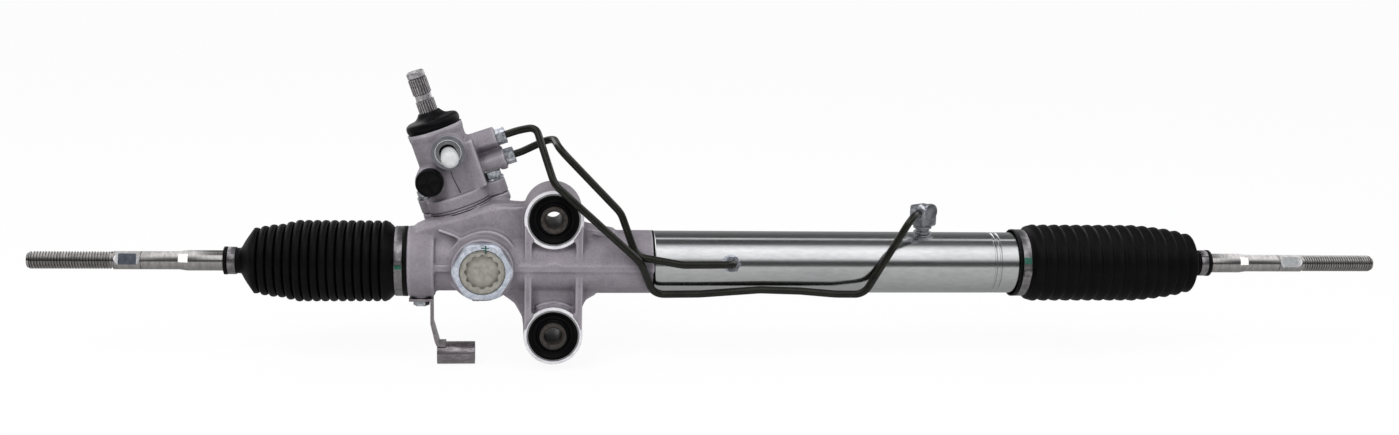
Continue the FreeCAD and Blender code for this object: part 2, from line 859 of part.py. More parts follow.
def rack_guide():
    """The plunger that presses the rack into mesh, hollow for its spring."""
    seat_radius = S.rack_radius + S.guide_liner + S.running_gap
    point = rack_point(S.guide_x, S.guide_back, 0.0)
    body = cylinder("guide_form", S.guide_radius, S.guide_back - S.guide_front, point, TO_FRONT)
    saddle = cylinder("guide_saddle", seat_radius, WIDE, rack_point(S.guide_x - WIDE / 2, 0.0, 0.0),
                      ALONG_X)
    pocket = cylinder("guide_pocket", S.guide_pocket_radius, S.guide_pocket_depth,
                      rack_point(S.guide_x, S.guide_front + S.guide_pocket_floor, 0.0), TO_FRONT)
    return cut("rack_guide", body, saddle, pocket)


def rack_guide_liner():
    """The curved low-friction liner between the guide and the rack."""
    outer = S.rack_radius + S.guide_liner + S.running_gap
    point = rack_point(S.guide_x - S.guide_radius, 0.0, 0.0)
    shell = cylinder("liner_form", outer, S.guide_radius * 2, point, ALONG_X)
    bore = cylinder("liner_bore", S.rack_radius + S.running_gap, S.guide_radius * 2, point, ALONG_X)
    tube = cut("liner_tube", shell, bore)
    reach = cylinder("liner_reach", S.guide_radius, WIDE,
                     rack_point(S.guide_x, S.guide_back, 0.0), TO_FRONT)
    item = doc.addObject("Part::Common", "rack_guide_liner")
    item.Base = tube
    item.Tool = reach
    return item


def guide_spring():
    """The coil spring between the guide and its cap."""
    low = value_of(S.guide_front + S.guide_pocket_floor)
    high = value_of(S.guide_cap_back - S.spring_wire)
    wire = value_of(S.spring_wire) / 2
    length = low - high
    radius = value_of(S.spring_radius)
    turns = value_of(S.spring_turns)
    helix = Part.makeHelix((length - 2 * wire) / turns, length - 2 * wire, radius)
    start = FreeCAD.Vector(radius, 0, 0)
    section = Part.Wire(Part.makeCircle(wire, start, Y_AXIS))
    coil = Part.Wire(helix.Edges).makePipeShell([section], True, True)
    start_y = S.guide_front + S.guide_pocket_floor - S.spring_wire / 2
    return shaped("guide_spring", coil, rack_point(S.guide_x, start_y, 0.0), TO_FRONT)


def guide_cap():
    """The threaded cap with its hexagon socket and a pocket for the spring."""
    point = rack_point(S.guide_x, S.guide_cap_back, 0.0)
    length = S.guide_cap_back - S.guide_cap_front
    body = cylinder("guide_cap_form", S.guide_cap_radius, length, point, TO_FRONT)
    socket = hexagon("guide_cap_socket", S.cap_socket_radius * root(Size(3, "3")),
                     S.cap_socket_depth + 1,
                     rack_point(S.guide_x, S.guide_cap_front + S.cap_socket_depth, 0.0), TO_FRONT)
    pocket = cylinder("guide_cap_pocket", S.guide_pocket_radius, S.spring_wire + 1,
                      rack_point(S.guide_x, S.guide_cap_back + 1, 0.0), TO_FRONT)
    return cut("guide_cap", body, socket, pocket)


def guide_lock_nut():
    """The plated hexagon nut that locks the cap, with chamfered corners."""
    point = rack_point(S.guide_x, S.guide_boss_front, 0.0)
    body = hexagon("lock_nut_form", S.lock_nut_across, S.lock_nut_thick, point, TO_FRONT)
    face = S.lock_nut_across / 2
    profile = [
        (0.0, 0.0),
        (0.0, face + S.lock_nut_chamfer),
        (S.lock_nut_thick - S.lock_nut_chamfer * 0.6, face + S.lock_nut_chamfer),
        (S.lock_nut_thick, face),
        (S.lock_nut_thick, 0.0),
    ]
    envelope = turned("lock_nut_envelope", "Z", profile, point, TO_FRONT)
    rounded = doc.addObject("Part::Common", "lock_nut_rounded")
    rounded.Base = body
    rounded.Tool = envelope
    bore = cylinder("lock_nut_bore", S.guide_cap_radius, S.lock_nut_thick + 2,
                    rack_point(S.guide_x, S.guide_boss_front + 1, 0.0), TO_FRONT)
    return cut("guide_lock_nut", rounded, bore)


# Valve housing

def valve_housing():
    """The upper casting with the valve bore, its flange and four port bosses."""
    low = S.tower_top
    solids = flange("valve_flange", low, S.valve_flange_top)
    profile = [
        (low, 0.0),
        (low, S.valve_radius),
        (VALVE_TOP - S.lip_height - S.lip_step, S.valve_radius),
        (VALVE_TOP - S.lip_height, S.valve_radius + S.lip_step),
        (VALVE_TOP - S.lip_step, S.valve_radius + S.lip_step),
        (VALVE_TOP, S.valve_radius),
        (VALVE_TOP, 0.0),
    ]
    solids.append(turned("valve_form", "Z", profile, TOWER, UP_TOWER))
    solids.append(cylinder("pressure_boss", S.pressure_boss_radius, -S.pressure_face,
                           tower_point(S.pressure_across, 0.0, S.pressure_up), TO_FRONT))
    solids.append(cylinder("return_boss", S.return_boss_radius, -S.return_face,
                           tower_point(S.return_across, 0.0, S.return_up), TO_FRONT))
    for name, up, end in (("high", S.high_port_up, S.high_port_end),
                          ("low", S.low_port_up, S.low_port_end)):
        solids.append(cylinder(name + "_turn_boss", S.turn_boss_radius, end,
                               tower_point(0.0, 0.0, up), ACROSS_TOWER))
    solids.append(box("port_block",
                      (S.port_block_width, S.port_block_back - S.port_block_front,
                       S.high_port_up + S.turn_boss_radius * 0.8 - S.valve_flange_top),
                      tower_point(0.0, S.port_block_front, S.valve_flange_top - 1), UP_TOWER))
    tools = []
    heights = (
        ("valve_bore", S.valve_bore_radius, low - 1, BEARING_LOW - 1),
        ("upper_bearing_bore", S.upper_bearing_radius, low, VALVE_TOP + 1),
    )
    for name, radius, start, end in heights:
        tools.append(cylinder(name, radius, end - start, tower_point(0.0, 0.0, start), UP_TOWER))
    tools.append(cylinder("pressure_bore", S.port_bore_radius,
                          -S.pressure_face - S.sleeve_bore_radius,
                          tower_point(S.pressure_across, -S.sleeve_bore_radius, S.pressure_up),
                          TO_FRONT))
    tools.append(cylinder("pressure_seat_bore", S.pressure_seat_radius, S.seat_depth + 1,
                          tower_point(S.pressure_across, S.pressure_face + S.seat_depth,
                                      S.pressure_up),
                          TO_FRONT))
    tools.append(cylinder("return_bore", S.return_bore_radius, -S.return_face + 1,
                          tower_point(S.return_across, 0.0, S.return_up), TO_FRONT))
    for name, up, end in (("high", S.high_port_up, S.high_port_end),
                          ("low", S.low_port_up, S.low_port_end)):
        tools.append(cylinder(name + "_turn_bore", S.pipe_radius, end,
                              tower_point(S.sleeve_bore_radius, 0.0, up), ACROSS_TOWER))
    for side, point in zip(("front", "back"), flange_bolt_points(low - 1)):
        tools.append(cylinder(side + "_valve_bolt_hole", S.flange_bolt_radius,
                              S.valve_flange_top - low + 2, point, UP_TOWER))
    for side, point in zip(("front", "back"), flange_bolt_points(S.valve_flange_top)):
        tools.append(cylinder(side + "_bolt_spot", S.flange_spot_radius,
                              S.flange_bolt_head + 2, point, UP_TOWER))
    return cut("valve_housing", fuse("valve_housing_form", *solids), *tools)


def valve_housing_bolts():
    """The two bolts that hold the valve housing on the flange."""
    bolts = []
    for side, foot, head in zip(("front", "back"), flange_bolt_points(S.flange_low),
                                flange_bolt_points(S.valve_flange_top)):
        shank = cylinder(side + "_bolt_shank", S.flange_bolt_radius,
                         S.valve_flange_top - S.flange_low, foot, UP_TOWER)
        cap = hexagon(side + "_bolt_hexagon", S.flange_bolt_hexagon, S.flange_bolt_head, head,
                      UP_TOWER)
        washer = cylinder(side + "_bolt_washer", S.flange_washer_radius, S.flange_washer_thick,
                          head, UP_TOWER)
        bolts.append(fuse(side + "_bolt", shank, cap, washer))
    return set_of("valve_housing_bolts", *bolts)


def pressure_port_seat():
    """The machined steel seat pressed in the pressure port."""
    point = tower_point(S.pressure_across, S.pressure_face, S.pressure_up)
    return ring("pressure_port_seat", "Y", -S.seat_lip, S.seat_depth, S.pressure_seat_radius,
                S.port_bore_radius, point)


def pressure_port_plug():
    """The moulded shipping plug in the pressure port."""
    point = tower_point(S.pressure_across, S.pressure_face, S.pressure_up)
    radius = S.port_bore_radius - S.running_gap
    profile = [
        (-S.plug_length, 0.0),
        (-S.plug_length, radius - 1),
        (1 - S.plug_length, radius),
        (S.stem_depth, radius),
        (S.stem_depth, radius - S.plug_wall),
        (S.plug_wall - S.plug_length, radius - S.plug_wall),
        (S.plug_wall - S.plug_length, 0.0),
    ]
    return turned("pressure_port_plug", "Y", profile, point)


def return_port_cap():
    """The black shipping cap with a stem in the return port."""
    point = tower_point(S.return_across, S.return_face, S.return_up)
    profile = [
        (-S.return_cap_thick, 0.0),
        (-S.return_cap_thick, S.return_cap_radius - 1),
        (1 - S.return_cap_thick, S.return_cap_radius),
        (0.0, S.return_cap_radius),
        (0.0, S.return_bore_radius - S.running_gap),
        (S.stem_depth, S.return_bore_radius - S.running_gap),
        (S.stem_depth, 0.0),
    ]
    body = turned("return_cap_form", "Y", profile, point)
    arm = S.return_cap_radius * 1.3
    slot = S.cap_slot_width
    depth = S.cap_slot_depth + 1
    face = S.return_face - S.return_cap_thick
    tools = [
        box("cap_slot_level", (arm, depth, slot),
            tower_point(S.return_across - arm / 2, face - 1, S.return_up - slot / 2), UP_TOWER),
        box("cap_slot_upright", (slot, depth, arm),
            tower_point(S.return_across - slot / 2, face - 1, S.return_up - arm / 2), UP_TOWER),
    ]
    return cut("return_port_cap", body, *tools)


def dust_cover():
    """The rubber bell over the top of the valve housing."""
    bore = S.spline_radius + S.soft_gap
    top = VALVE_TOP
    profile = [
        (top, bore + 8),
        (top, S.cover_radius),
        (top + S.cover_rim, S.cover_radius),
        (top + S.cover_rim + 2, S.cover_radius - 2),
        (top + S.cover_rim + 4, S.cover_neck_radius + 4),
        (COVER_TOP - 1, S.cover_neck_radius),
        (COVER_TOP, S.cover_neck_radius),
        (COVER_TOP, bore),
        (COVER_TOP - 5, bore),
        (top + 3, bore + 5),
    ]
    return turned("dust_cover", "Z", profile, TOWER, UP_TOWER)


# Pinion, valve and input shaft

def involute(angle_degrees):
    """The involute function of an angle."""
    angle = math.radians(angle_degrees)
    return math.tan(angle) - angle


def pinion_root():
    """The root radius of the pinion's teeth."""
    pitch_radius = S.tooth_module * S.pinion_teeth / 2
    return pitch_radius + S.tooth_module * (S.profile_shift - 1) - S.root_clearance


def pinion_tooth_shape(length):
    """A spur pinion cut by an involute rack cutter, along +Z from the origin."""
    module = value_of(S.tooth_module)
    teeth = int(value_of(S.pinion_teeth))
    alpha = value_of(S.pressure_angle)
    pitch = module * teeth / 2
    base = pitch * math.cos(math.radians(alpha))
    tip = pitch + value_of(S.tip_height)
    root_radius = value_of(pinion_root())
    shift = 2 * value_of(S.profile_shift) * math.tan(math.radians(alpha))
    thick = module * (math.pi / 2 + shift) - value_of(S.backlash)
    half_at_base = thick / (2 * pitch) + involute(alpha)
    steps = 7
    flank = [(root_radius, half_at_base)]
    for step in range(steps + 1):
        radius = base + (tip - base) * step / steps
        angle = math.degrees(math.acos(min(1.0, base / radius)))
        flank.append((radius, half_at_base - involute(angle)))
    points = []
    for tooth in range(teeth):
        middle = -math.pi / 2 + 2 * math.pi * tooth / teeth
        for radius, half in flank:
            points.append((radius, middle - half))
        for radius, half in reversed(flank):
            points.append((radius, middle + half))
    corners = [FreeCAD.Vector(radius * math.cos(angle), radius * math.sin(angle), 0)
               for radius, angle in points]
    face = Part.Face(Part.makePolygon(corners + [corners[0]]))
    return face.extrude(FreeCAD.Vector(0, 0, length))


def pinion():
    """The pinion with its journals and the hollow head that takes the torsion bar."""
    face = value_of(S.tooth_face)
    teeth = pinion_tooth_shape(face)
    teeth.translate(FreeCAD.Vector(0, 0, -face / 2))
    root_radius = value_of(pinion_root())
    steps = (
        (value_of(S.foot_nut_low), value_of(S.foot_bearing_high), value_of(S.foot_journal_radius)),
        (value_of(S.foot_bearing_high), value_of(S.neck_bearing_low), root_radius),
        (face / 2, value_of(S.neck_bearing_low), value_of(S.neck_journal_radius - S.sleeve_gap)),
        (value_of(S.neck_bearing_low), value_of(S.head_low), value_of(S.neck_journal_radius)),
        (value_of(S.head_low), value_of(S.head_high), value_of(S.head_radius)),
    )
    solid = teeth
    for low, high, radius in steps:
        solid = solid.fuse(Part.makeCylinder(radius, high - low, FreeCAD.Vector(0, 0, low)))
    low = value_of(S.torsion_low)
    solid = solid.cut(Part.makeCylinder(value_of(S.torsion_end_radius),
                                        value_of(S.head_high) - low + 1,
                                        FreeCAD.Vector(0, 0, low)))
    well = value_of(S.head_high - S.shaft_well)
    solid = solid.cut(Part.makeCylinder(value_of(S.shaft_radius + S.running_gap),
                                        value_of(S.shaft_well) + 1, FreeCAD.Vector(0, 0, well)))
    return shaped("pinion", solid.removeSplitter(), TOWER, UP_TOWER)


def valve_sleeve():
    """The valve sleeve, driven by the head of the pinion, with grooves for its rings."""
    outer = S.valve_bore_radius - S.sleeve_gap
    inner = S.sleeve_bore_radius
    half = S.sleeve_ring_width / 2
    profile = [(S.head_high, S.head_radius), (S.head_high, inner + 1), (S.sleeve_low, inner),
               (SLEEVE_TOP, inner), (SLEEVE_TOP, outer)]
    for up in reversed(sleeve_ring_heights()):
        profile += [
            (up + half, outer),
            (up + half, outer - S.sleeve_ring_depth),
            (up - half, outer - S.sleeve_ring_depth),
            (up - half, outer),
        ]
    profile += [(S.sleeve_low, outer), (S.sleeve_low, S.head_radius)]
    return turned("valve_sleeve", "Z", profile, TOWER, UP_TOWER)


def sleeve_ring_heights():
    """Heights of the four sealing rings, one at each side of the three oil grooves."""
    span = SLEEVE_TOP - S.sleeve_low
    return [S.sleeve_low + span * (index + 0.5) / 4 for index in range(4)]


def sleeve_rings():
    """Four thin sealing rings around the valve sleeve."""
    outer = S.valve_bore_radius - S.running_gap
    inner = S.valve_bore_radius - S.sleeve_gap - S.sleeve_ring_depth
    half = S.sleeve_ring_width / 2
    rings = []
    for index, up in enumerate(sleeve_ring_heights()):
        rings.append(ring("sleeve_ring_%d" % (index + 1), "Z", up - half, up + half, outer, inner,
                          TOWER, UP_TOWER))
    return set_of("sleeve_rings", *rings)


def input_shaft():
    """The input shaft with its valve land, splined end and pinch groove."""
    well = S.head_high - S.shaft_entry
    land = S.sleeve_bore_radius - S.running_gap
    bore = S.shaft_bore_radius + S.running_gap
    groove = 1.0
    end = SHAFT_TIP - S.spline_end_land
    profile = [
        (well, bore),
        (well, S.shaft_radius),
        (S.head_high + 0.6, S.shaft_radius),
        (S.head_high + 1.6, land),
        (SLEEVE_TOP, land),
        (SLEEVE_TOP + 1, S.shaft_radius),
        (VALVE_TOP + 6, S.shaft_radius),
        (VALVE_TOP + 6.5, S.spline_radius),
        (GROOVE_LOW - groove, S.spline_radius),
        (GROOVE_LOW, S.pinch_groove_radius),
        (GROOVE_HIGH, S.pinch_groove_radius),
        (GROOVE_HIGH + groove, S.spline_radius),
        (end, S.spline_radius),
        (end + 0.5, S.spline_radius - 0.6),
        (SHAFT_TIP - 1, S.spline_radius - 0.6),
        (SHAFT_TIP, S.spline_radius - 1.6),
        (SHAFT_TIP, bore),
    ]
    return turned("input_shaft", "Z", profile, TOWER, UP_TOWER)


def torsion_bar():
    """The torsion bar from the pinion up through the input shaft."""
    end = S.torsion_end_radius
    thin = S.torsion_radius
    profile = [
        (S.torsion_low, 0.0),
        (S.torsion_low, end),
        (S.torsion_low + S.torsion_head - 2, end),
        (S.torsion_low + S.torsion_head, thin),
        (TORSION_TOP - S.torsion_head - 2, thin),
        (TORSION_TOP - S.torsion_head, end),
        (TORSION_TOP, end),
        (TORSION_TOP, 0.0),
    ]
    return turned("torsion_bar", "Z", profile, TOWER, UP_TOWER)


def tower_bearings():
    """Bearings and shaft seals along the tower, as plain closed rings."""
    gap = S.running_gap
    rows = (
        ("lower_pinion_bearing", S.foot_bearing_low, S.foot_bearing_high,
         S.foot_bearing_radius, S.foot_journal_radius + gap),
        ("upper_pinion_bearing", S.neck_bearing_low, S.neck_bearing_high,
         S.neck_bearing_radius, S.neck_journal_radius + gap),
        ("pinion_oil_seal", S.neck_bearing_high + 0.5, S.neck_seal_high,
         S.neck_bearing_radius, S.neck_journal_radius + gap),
        ("input_shaft_bearing", BEARING_LOW, BEARING_HIGH,
         S.upper_bearing_radius, S.shaft_radius + gap),
        ("input_shaft_seal", BEARING_HIGH + 0.5, SEAL_HIGH,
         S.upper_bearing_radius, S.shaft_radius + gap),
    )
    return [ring(name, "Z", low, high, outer, inner, TOWER, UP_TOWER)
            for name, low, high, outer, inner in rows]


def pinion_nut():
    """The nut under the lower pinion bearing."""
    point = tower_point(0.0, 0.0, S.foot_nut_low)
    body = hexagon("pinion_nut_form", S.foot_nut_across, S.foot_bearing_low - S.foot_nut_low - 0.3,
                   point, UP_TOWER)
    bore = cylinder("pinion_nut_bore", S.foot_journal_radius, 20.0,
                    tower_point(0.0, 0.0, S.foot_nut_low - 5), UP_TOWER)
    return cut("pinion_nut", body, bore)


def pinion_bottom_cap():
    """The pressed cap that closes the foot of the tower."""
    return ring("pinion_bottom_cap", "Z", S.tower_foot, S.tower_foot + S.foot_cap_thick,
                S.foot_cap_radius, 0.0, TOWER, UP_TOWER)


# Rack, piston and sockets

def rack_end(side):
    """The X of the rack's end face at one side: -1 left, +1 right."""
    ball_x = S.left_ball_x if side < 0 else S.right_ball_x
    return ball_x - side * (S.socket_depth + S.washer_thick)


def rack_bar():
    """The rack bar with its slanted teeth facing the pinion behind it."""
    left = value_of(rack_end(-1))
    right = value_of(rack_end(1))
    radius = value_of(S.rack_radius)
    module = value_of(S.tooth_module)
    pitch = math.pi * module
    rolling = value_of(S.tower_y) - module * value_of(S.pinion_teeth) / 2
    tip = rolling + module * (1 - value_of(S.profile_shift))
    tooth_root = rolling - value_of(S.tip_height) - value_of(S.root_clearance)
    slope = math.tan(math.radians(value_of(S.pressure_angle)))
    gap_at_line = module * (math.pi / 2 + 2 * value_of(S.profile_shift) * slope)
    tilt = math.radians(value_of(S.tower_tilt))
    across = FreeCAD.Vector(math.cos(tilt), 0, math.sin(tilt))
    along = FreeCAD.Vector(-math.sin(tilt), 0, math.cos(tilt))
    bar = Part.makeCylinder(radius, right - left, FreeCAD.Vector(left, 0, 0), X_AXIS)
    count = int(value_of(S.rack_gaps))
    step = pitch / math.cos(tilt)
    middle = value_of(S.tower_x)
    half_length = step * count / 2
    flat = Part.makeBox(2 * half_length, radius, 2 * radius,
                        FreeCAD.Vector(middle - half_length, tip, -radius))
    tools = [flat]
    top = tip + 1.0
    top_half = gap_at_line / 2 + (top - rolling) * slope
    root_half = gap_at_line / 2 - (rolling - tooth_root) * slope
    for index in range(count):
        centre = FreeCAD.Vector(middle + (index - (count - 1) / 2) * step, 0, 0)
        base = centre - along * (2 * radius)
        corners = []
        for offset, height in ((-top_half, top), (-root_half, tooth_root),
                               (root_half, tooth_root), (top_half, top)):
            corners.append(base + across * offset + FreeCAD.Vector(0, height, 0))
        face = Part.Face(Part.makePolygon(corners + [corners[0]]))
        tools.append(face.extrude(along * (4 * radius)))
    stud = value_of(S.stud_radius)
    depth = value_of(S.stud_length) - value_of(S.washer_thick) + 2
    tools.append(Part.makeCylinder(stud, depth, FreeCAD.Vector(left, 0, 0), X_AXIS))
    tools.append(Part.makeCylinder(stud, depth, FreeCAD.Vector(right - depth, 0, 0), X_AXIS))
    for x in snap_ring_places():
        outer = Part.makeCylinder(radius + 1, value_of(S.snap_ring_thick),
                                  FreeCAD.Vector(x, 0, 0), X_AXIS)
        inner = Part.makeCylinder(radius - 1, value_of(S.snap_ring_thick),
                                  FreeCAD.Vector(x, 0, 0), X_AXIS)
        tools.append(outer.cut(inner))
    solid = bar.cut(tools)
    return shaped("rack_bar", solid, RACK)


def snap_ring_places():
    """The low X of the snap rings at both sides of the piston."""
    half = value_of(S.piston_length) / 2
    centre = value_of(S.piston_x)
    return (centre - half - value_of(S.snap_ring_thick), centre + half)


def rack_piston():
    """The piston with the groove of its ring."""
    outer = S.tube_radius - S.tube_wall - S.piston_gap
    half = S.piston_length / 2
    groove = S.piston_ring_width / 2
    floor = outer - S.piston_ring_depth
    profile = [
        (S.piston_x - half, S.rack_radius),
        (S.piston_x - half, outer),
        (S.piston_x - groove, outer),
        (S.piston_x - groove, floor),
        (S.piston_x + groove, floor),
        (S.piston_x + groove, outer),
        (S.piston_x + half, outer),
        (S.piston_x + half, S.rack_radius),
    ]
    return turned("rack_piston", "X", profile, RACK)


def piston_ring():
    """The sealing ring of the piston."""
    bore = S.tube_radius - S.tube_wall
    half = S.piston_ring_width / 2
    return ring("piston_ring", "X", S.piston_x - half, S.piston_x + half, bore - S.running_gap,
                bore - S.piston_gap - S.piston_ring_depth, RACK)


def piston_snap_rings():
    """The two snap rings that hold the piston on the rack."""
    low = S.piston_x - S.piston_length / 2 - S.snap_ring_thick
    high = S.piston_x + S.piston_length / 2
    rings = []
    for index, start in enumerate((low, high)):
        rings.append(ring("snap_ring_%d" % (index + 1), "X", start, start + S.snap_ring_thick,
                          S.snap_ring_radius, S.rack_radius - 1, RACK))
    return set_of("piston_snap_rings", *rings)


def mirrored_profile(ball_x, side, profile):
    """A profile measured outwards from a ball centre, set at its side of the rack."""
    return [(ball_x + out * side, radius) for out, radius in profile]


def socket(name, ball_x, side):
    """The inner ball socket with its threaded stud into the rack."""
    back = -S.socket_depth
    profile = [
        (back - S.washer_thick - S.stud_length + 2, 0.0),
        (back - S.washer_thick - S.stud_length + 2, S.stud_radius),
        (back, S.stud_radius),
        (back, S.socket_radius - 1.5),
        (back + 1.5, S.socket_radius),
        (S.socket_mouth - 3, S.socket_radius),
        (S.socket_mouth, S.socket_radius - 2.5),
        (S.socket_mouth, 0.0),
    ]
    body = turned(name + "_form", "X", mirrored_profile(ball_x, side, profile), RACK)
    cavity = ball(name + "_cavity", S.ball_radius + S.seat_wall + S.running_gap * 2,
                  rack_point(ball_x, 0.0, 0.0))
    return cut(name, body, cavity)


def claw_washers():
    """The two locking washers between the sockets and the rack."""
    washers = []
    for index, (ball_x, side) in enumerate(((S.left_ball_x, -1), (S.right_ball_x, 1))):
        face = ball_x - S.socket_depth * side
        washers.append(ring("claw_washer_%d" % (index + 1), "X", face - S.washer_thick * side, face,
                            S.washer_radius, S.stud_radius, RACK))
    return set_of("claw_washers", *washers)


def ball_seat(name, ball_x, side):
    """The plastic liner between a ball and its socket, open at the mouth and the back."""
    centre = rack_point(ball_x, 0.0, 0.0)
    outer = ball(name + "_outer", S.ball_radius + S.seat_wall + S.running_gap, centre)
    inner = ball(name + "_inner", S.ball_radius + S.running_gap, centre)
    mouth = S.ball_radius * 0.44
    back = S.ball_radius * 0.8
    start = ball_x - side * back if side > 0 else ball_x + side * mouth
    band = cylinder(name + "_band", S.socket_radius, mouth + back,
                    rack_point(start, 0.0, 0.0), ALONG_X)
    shell = cut(name + "_shell", outer, inner)
    item = doc.addObject("Part::Common", name)
    item.Base = shell
    item.Tool = band
    return item


def tie_rod(name, ball_x, side):
    """A tie rod: ball, neck, tapered shank, wrench flats and threaded end."""
    profile = [
        (0.0, 0.0),
        (0.0, S.rod_neck_radius),
        (S.rod_neck_end, S.rod_neck_radius),
        (S.rod_body_start, S.rod_radius),
        (S.rod_cone_start, S.rod_radius),
        (S.rod_cone_end, S.shank_radius),
        (S.thread_start - 1, S.shank_radius),
        (S.thread_start, S.thread_radius),
        (S.rod_tip - S.thread_chamfer, S.thread_radius),
        (S.rod_tip, S.thread_radius - S.thread_chamfer),
        (S.rod_tip, 0.0),
    ]
    shank = turned(name + "_shank", "X", mirrored_profile(ball_x, side, profile), RACK)
    head = ball(name + "_ball", S.ball_radius, rack_point(ball_x, 0.0, 0.0))
    body = fuse(name + "_form", shank, head)
    length = S.flats_end - S.flats_start
    low = ball_x + S.flats_start * side - (length if side < 0 else 0.0)
    depth = S.thread_radius
    turn = (X_AXIS, -S.flats_turn)
    turn_cos = cosine(S.flats_turn)
    turn_sin = sine(S.flats_turn)
    flats = []
    for face, rear in (("front", S.flats_across / 2 * -1 - depth), ("back", S.flats_across / 2)):
        half = depth * -1.5
        corner = rack_point(low, rear * turn_cos + half * turn_sin,
                            half * turn_cos - rear * turn_sin)
        flats.append(box("%s_%s_flat" % (name, face), (length, depth, depth * 3), corner, turn))
    return cut(name, body, *flats)


# Cylinder

def cylinder_tube():
    """The steel cylinder tube with its crimp groove near the end."""
    inner = S.tube_radius - S.tube_wall
    profile = [
        (S.tube_start, inner),
        (S.tube_start, S.tube_radius),
        (S.crimp_x - 1.5, S.tube_radius),
        (S.crimp_x, S.tube_radius - S.crimp_depth),
        (S.crimp_x + 1.5, S.tube_radius),
        (tube_end(), S.tube_radius),
        (tube_end(), inner),
    ]
    body = turned("tube_form", "X", profile, RACK)
    left_bore = cylinder("left_port_bore", S.pipe_bore_radius, S.tube_radius + 2,
                         rack_point(S.left_port_x, 0.0, 0.0), (X_AXIS, 90.0 - S.left_port_rise))
    right_bore = cylinder("right_port_bore", S.pipe_bore_radius, S.tube_radius + 2,
                          rack_point(S.union_x, 0.0, 0.0))
    return cut("cylinder_tube", body, left_bore, right_bore)


def left_port_boss():
    """The round boss welded to the front of the tube."""
    turn = (X_AXIS, 90.0 - S.left_port_rise)
    point = rack_point(S.left_port_x, 0.0, 0.0)
    body = cylinder("left_boss_form", S.left_port_radius, S.tube_radius + S.left_port_height, point,
                    turn)
    tube = cylinder("left_boss_tube", S.tube_radius, WIDE,
                    rack_point(S.left_port_x - WIDE / 2, 0.0, 0.0), ALONG_X)
    bore = cylinder("left_boss_bore", S.pipe_radius, S.tube_radius * 2, point, turn)
    return cut("left_port_boss", body, tube, bore)


def union_direction():
    """The turn of the union about the upright axis."""
    return (Z_AXIS, -S.union_turn)


def union_port_direction():
    """The turn that lays an upright piece along the union's port, towards its mouth."""
    return ((cosine(S.union_turn), -sine(S.union_turn), 0.0), 90.0)


def union_point(right, rear, up):
    """A point of the union's own turned frame, from the rack axis up."""
    turn_cos = cosine(S.union_turn)
    turn_sin = sine(S.union_turn)
    x = S.union_x + right * turn_cos + rear * turn_sin
    y = rear * turn_cos - right * turn_sin
    return rack_point(x, y, up)


def right_port_union():
    """The square union block on its neck on top of the tube."""
    low = S.tube_radius + S.union_low
    size = S.union_size
    block = box("union_block", (size, size, S.union_height),
                union_point(size * -0.5, size * -0.5, low), union_direction())
    neck = cylinder("union_neck", S.union_neck_radius, low + 2, rack_point(S.union_x, 0.0, 0.0))
    tube = cylinder("union_tube", S.tube_radius, WIDE,
                    rack_point(S.union_x - WIDE / 2, 0.0, 0.0), ALONG_X)
    drill = cylinder("union_drill", S.pipe_bore_radius, union_port_height(),
                     rack_point(S.union_x, 0.0, 0.0))
    mouth = cylinder("union_mouth", S.pipe_radius, size / 2 + 1,
                     rack_point(S.union_x, 0.0, union_port_height()), union_port_direction())
    return cut("right_port_union", fuse("union_form", block, neck), tube, drill, mouth)


def union_port_height():
    """The height of the union's port above the rack axis."""
    return S.tube_radius + S.union_low + S.union_port_up


def cylinder_end_stopper():
    """The rack bushing crimped in the far end of the tube."""
    outer = S.tube_radius - S.tube_wall
    bore = S.rack_radius + S.running_gap
    seal_end = S.stopper_start + S.end_seal_length
    profile = [
        (S.stopper_start, S.seal_radius),
        (S.stopper_start, outer),
        (tube_end(), outer),
        (tube_end(), bore),
        (seal_end, bore),
        (seal_end, S.seal_radius),
    ]
    return turned("cylinder_end_stopper", "X", profile, RACK)


def rack_seals():
    """The two rack seals at the ends of the pressure chamber."""
    bore = S.rack_radius + S.running_gap
    return [
        ring("inner_rack_seal", "X", S.inner_seal_start, S.inner_seal_start + S.inner_seal_length,
             S.seal_radius, bore, RACK),
        ring("outer_rack_seal", "X", S.stopper_start, S.stopper_start + S.end_seal_length,
             S.seal_radius, bore, RACK),
    ]


# Pipes

def bent_pipe(name, corners):
    """A steel pipe swept along straight runs joined by tangent bends."""
    points = [FreeCAD.Vector(*[value_of(size) for size in corner]) for corner in corners]
    edges = []
    start = points[0]
    radii = []
    for before, corner, after in zip(points, points[1:], points[2:]):
        back = (before - corner).normalize()
        ahead = (after - corner).normalize()
        turn = math.pi - back.getAngle(ahead)
        shorter = min((before - corner).Length, (after - corner).Length)
        radius = min(value_of(S.bend_radius) / math.sin(turn / 2) ** 0.5,
                     0.45 * shorter / math.tan(turn / 2))
        reach = radius * math.tan(turn / 2)
        first = corner + back * reach
        last = corner + ahead * reach
        middle_line = (back + ahead).normalize()
        middle = corner + middle_line * (radius / math.cos(turn / 2) - radius)
        edges.append(Part.LineSegment(start, first).toShape())
        edges.append(Part.Arc(first, middle, last).toShape())
        start = last
        radii.append(radius)
    edges.append(Part.LineSegment(start, points[-1]).toShape())
    path = Part.Wire(edges)
    heading = (points[1] - points[0]).normalize()
    solids = []
    for radius in (value_of(S.pipe_radius), value_of(S.pipe_bore_radius)):
        section = Part.Wire(Part.makeCircle(radius, points[0], heading))
        solids.append(path.makePipeShell([section], True, False))
    print("%s bend radii %s" % (name, " ".join("%.1f" % radius for radius in radii)))
    return shaped(name, solids[0].cut(solids[1]), (0.0, 0.0, 0.0))


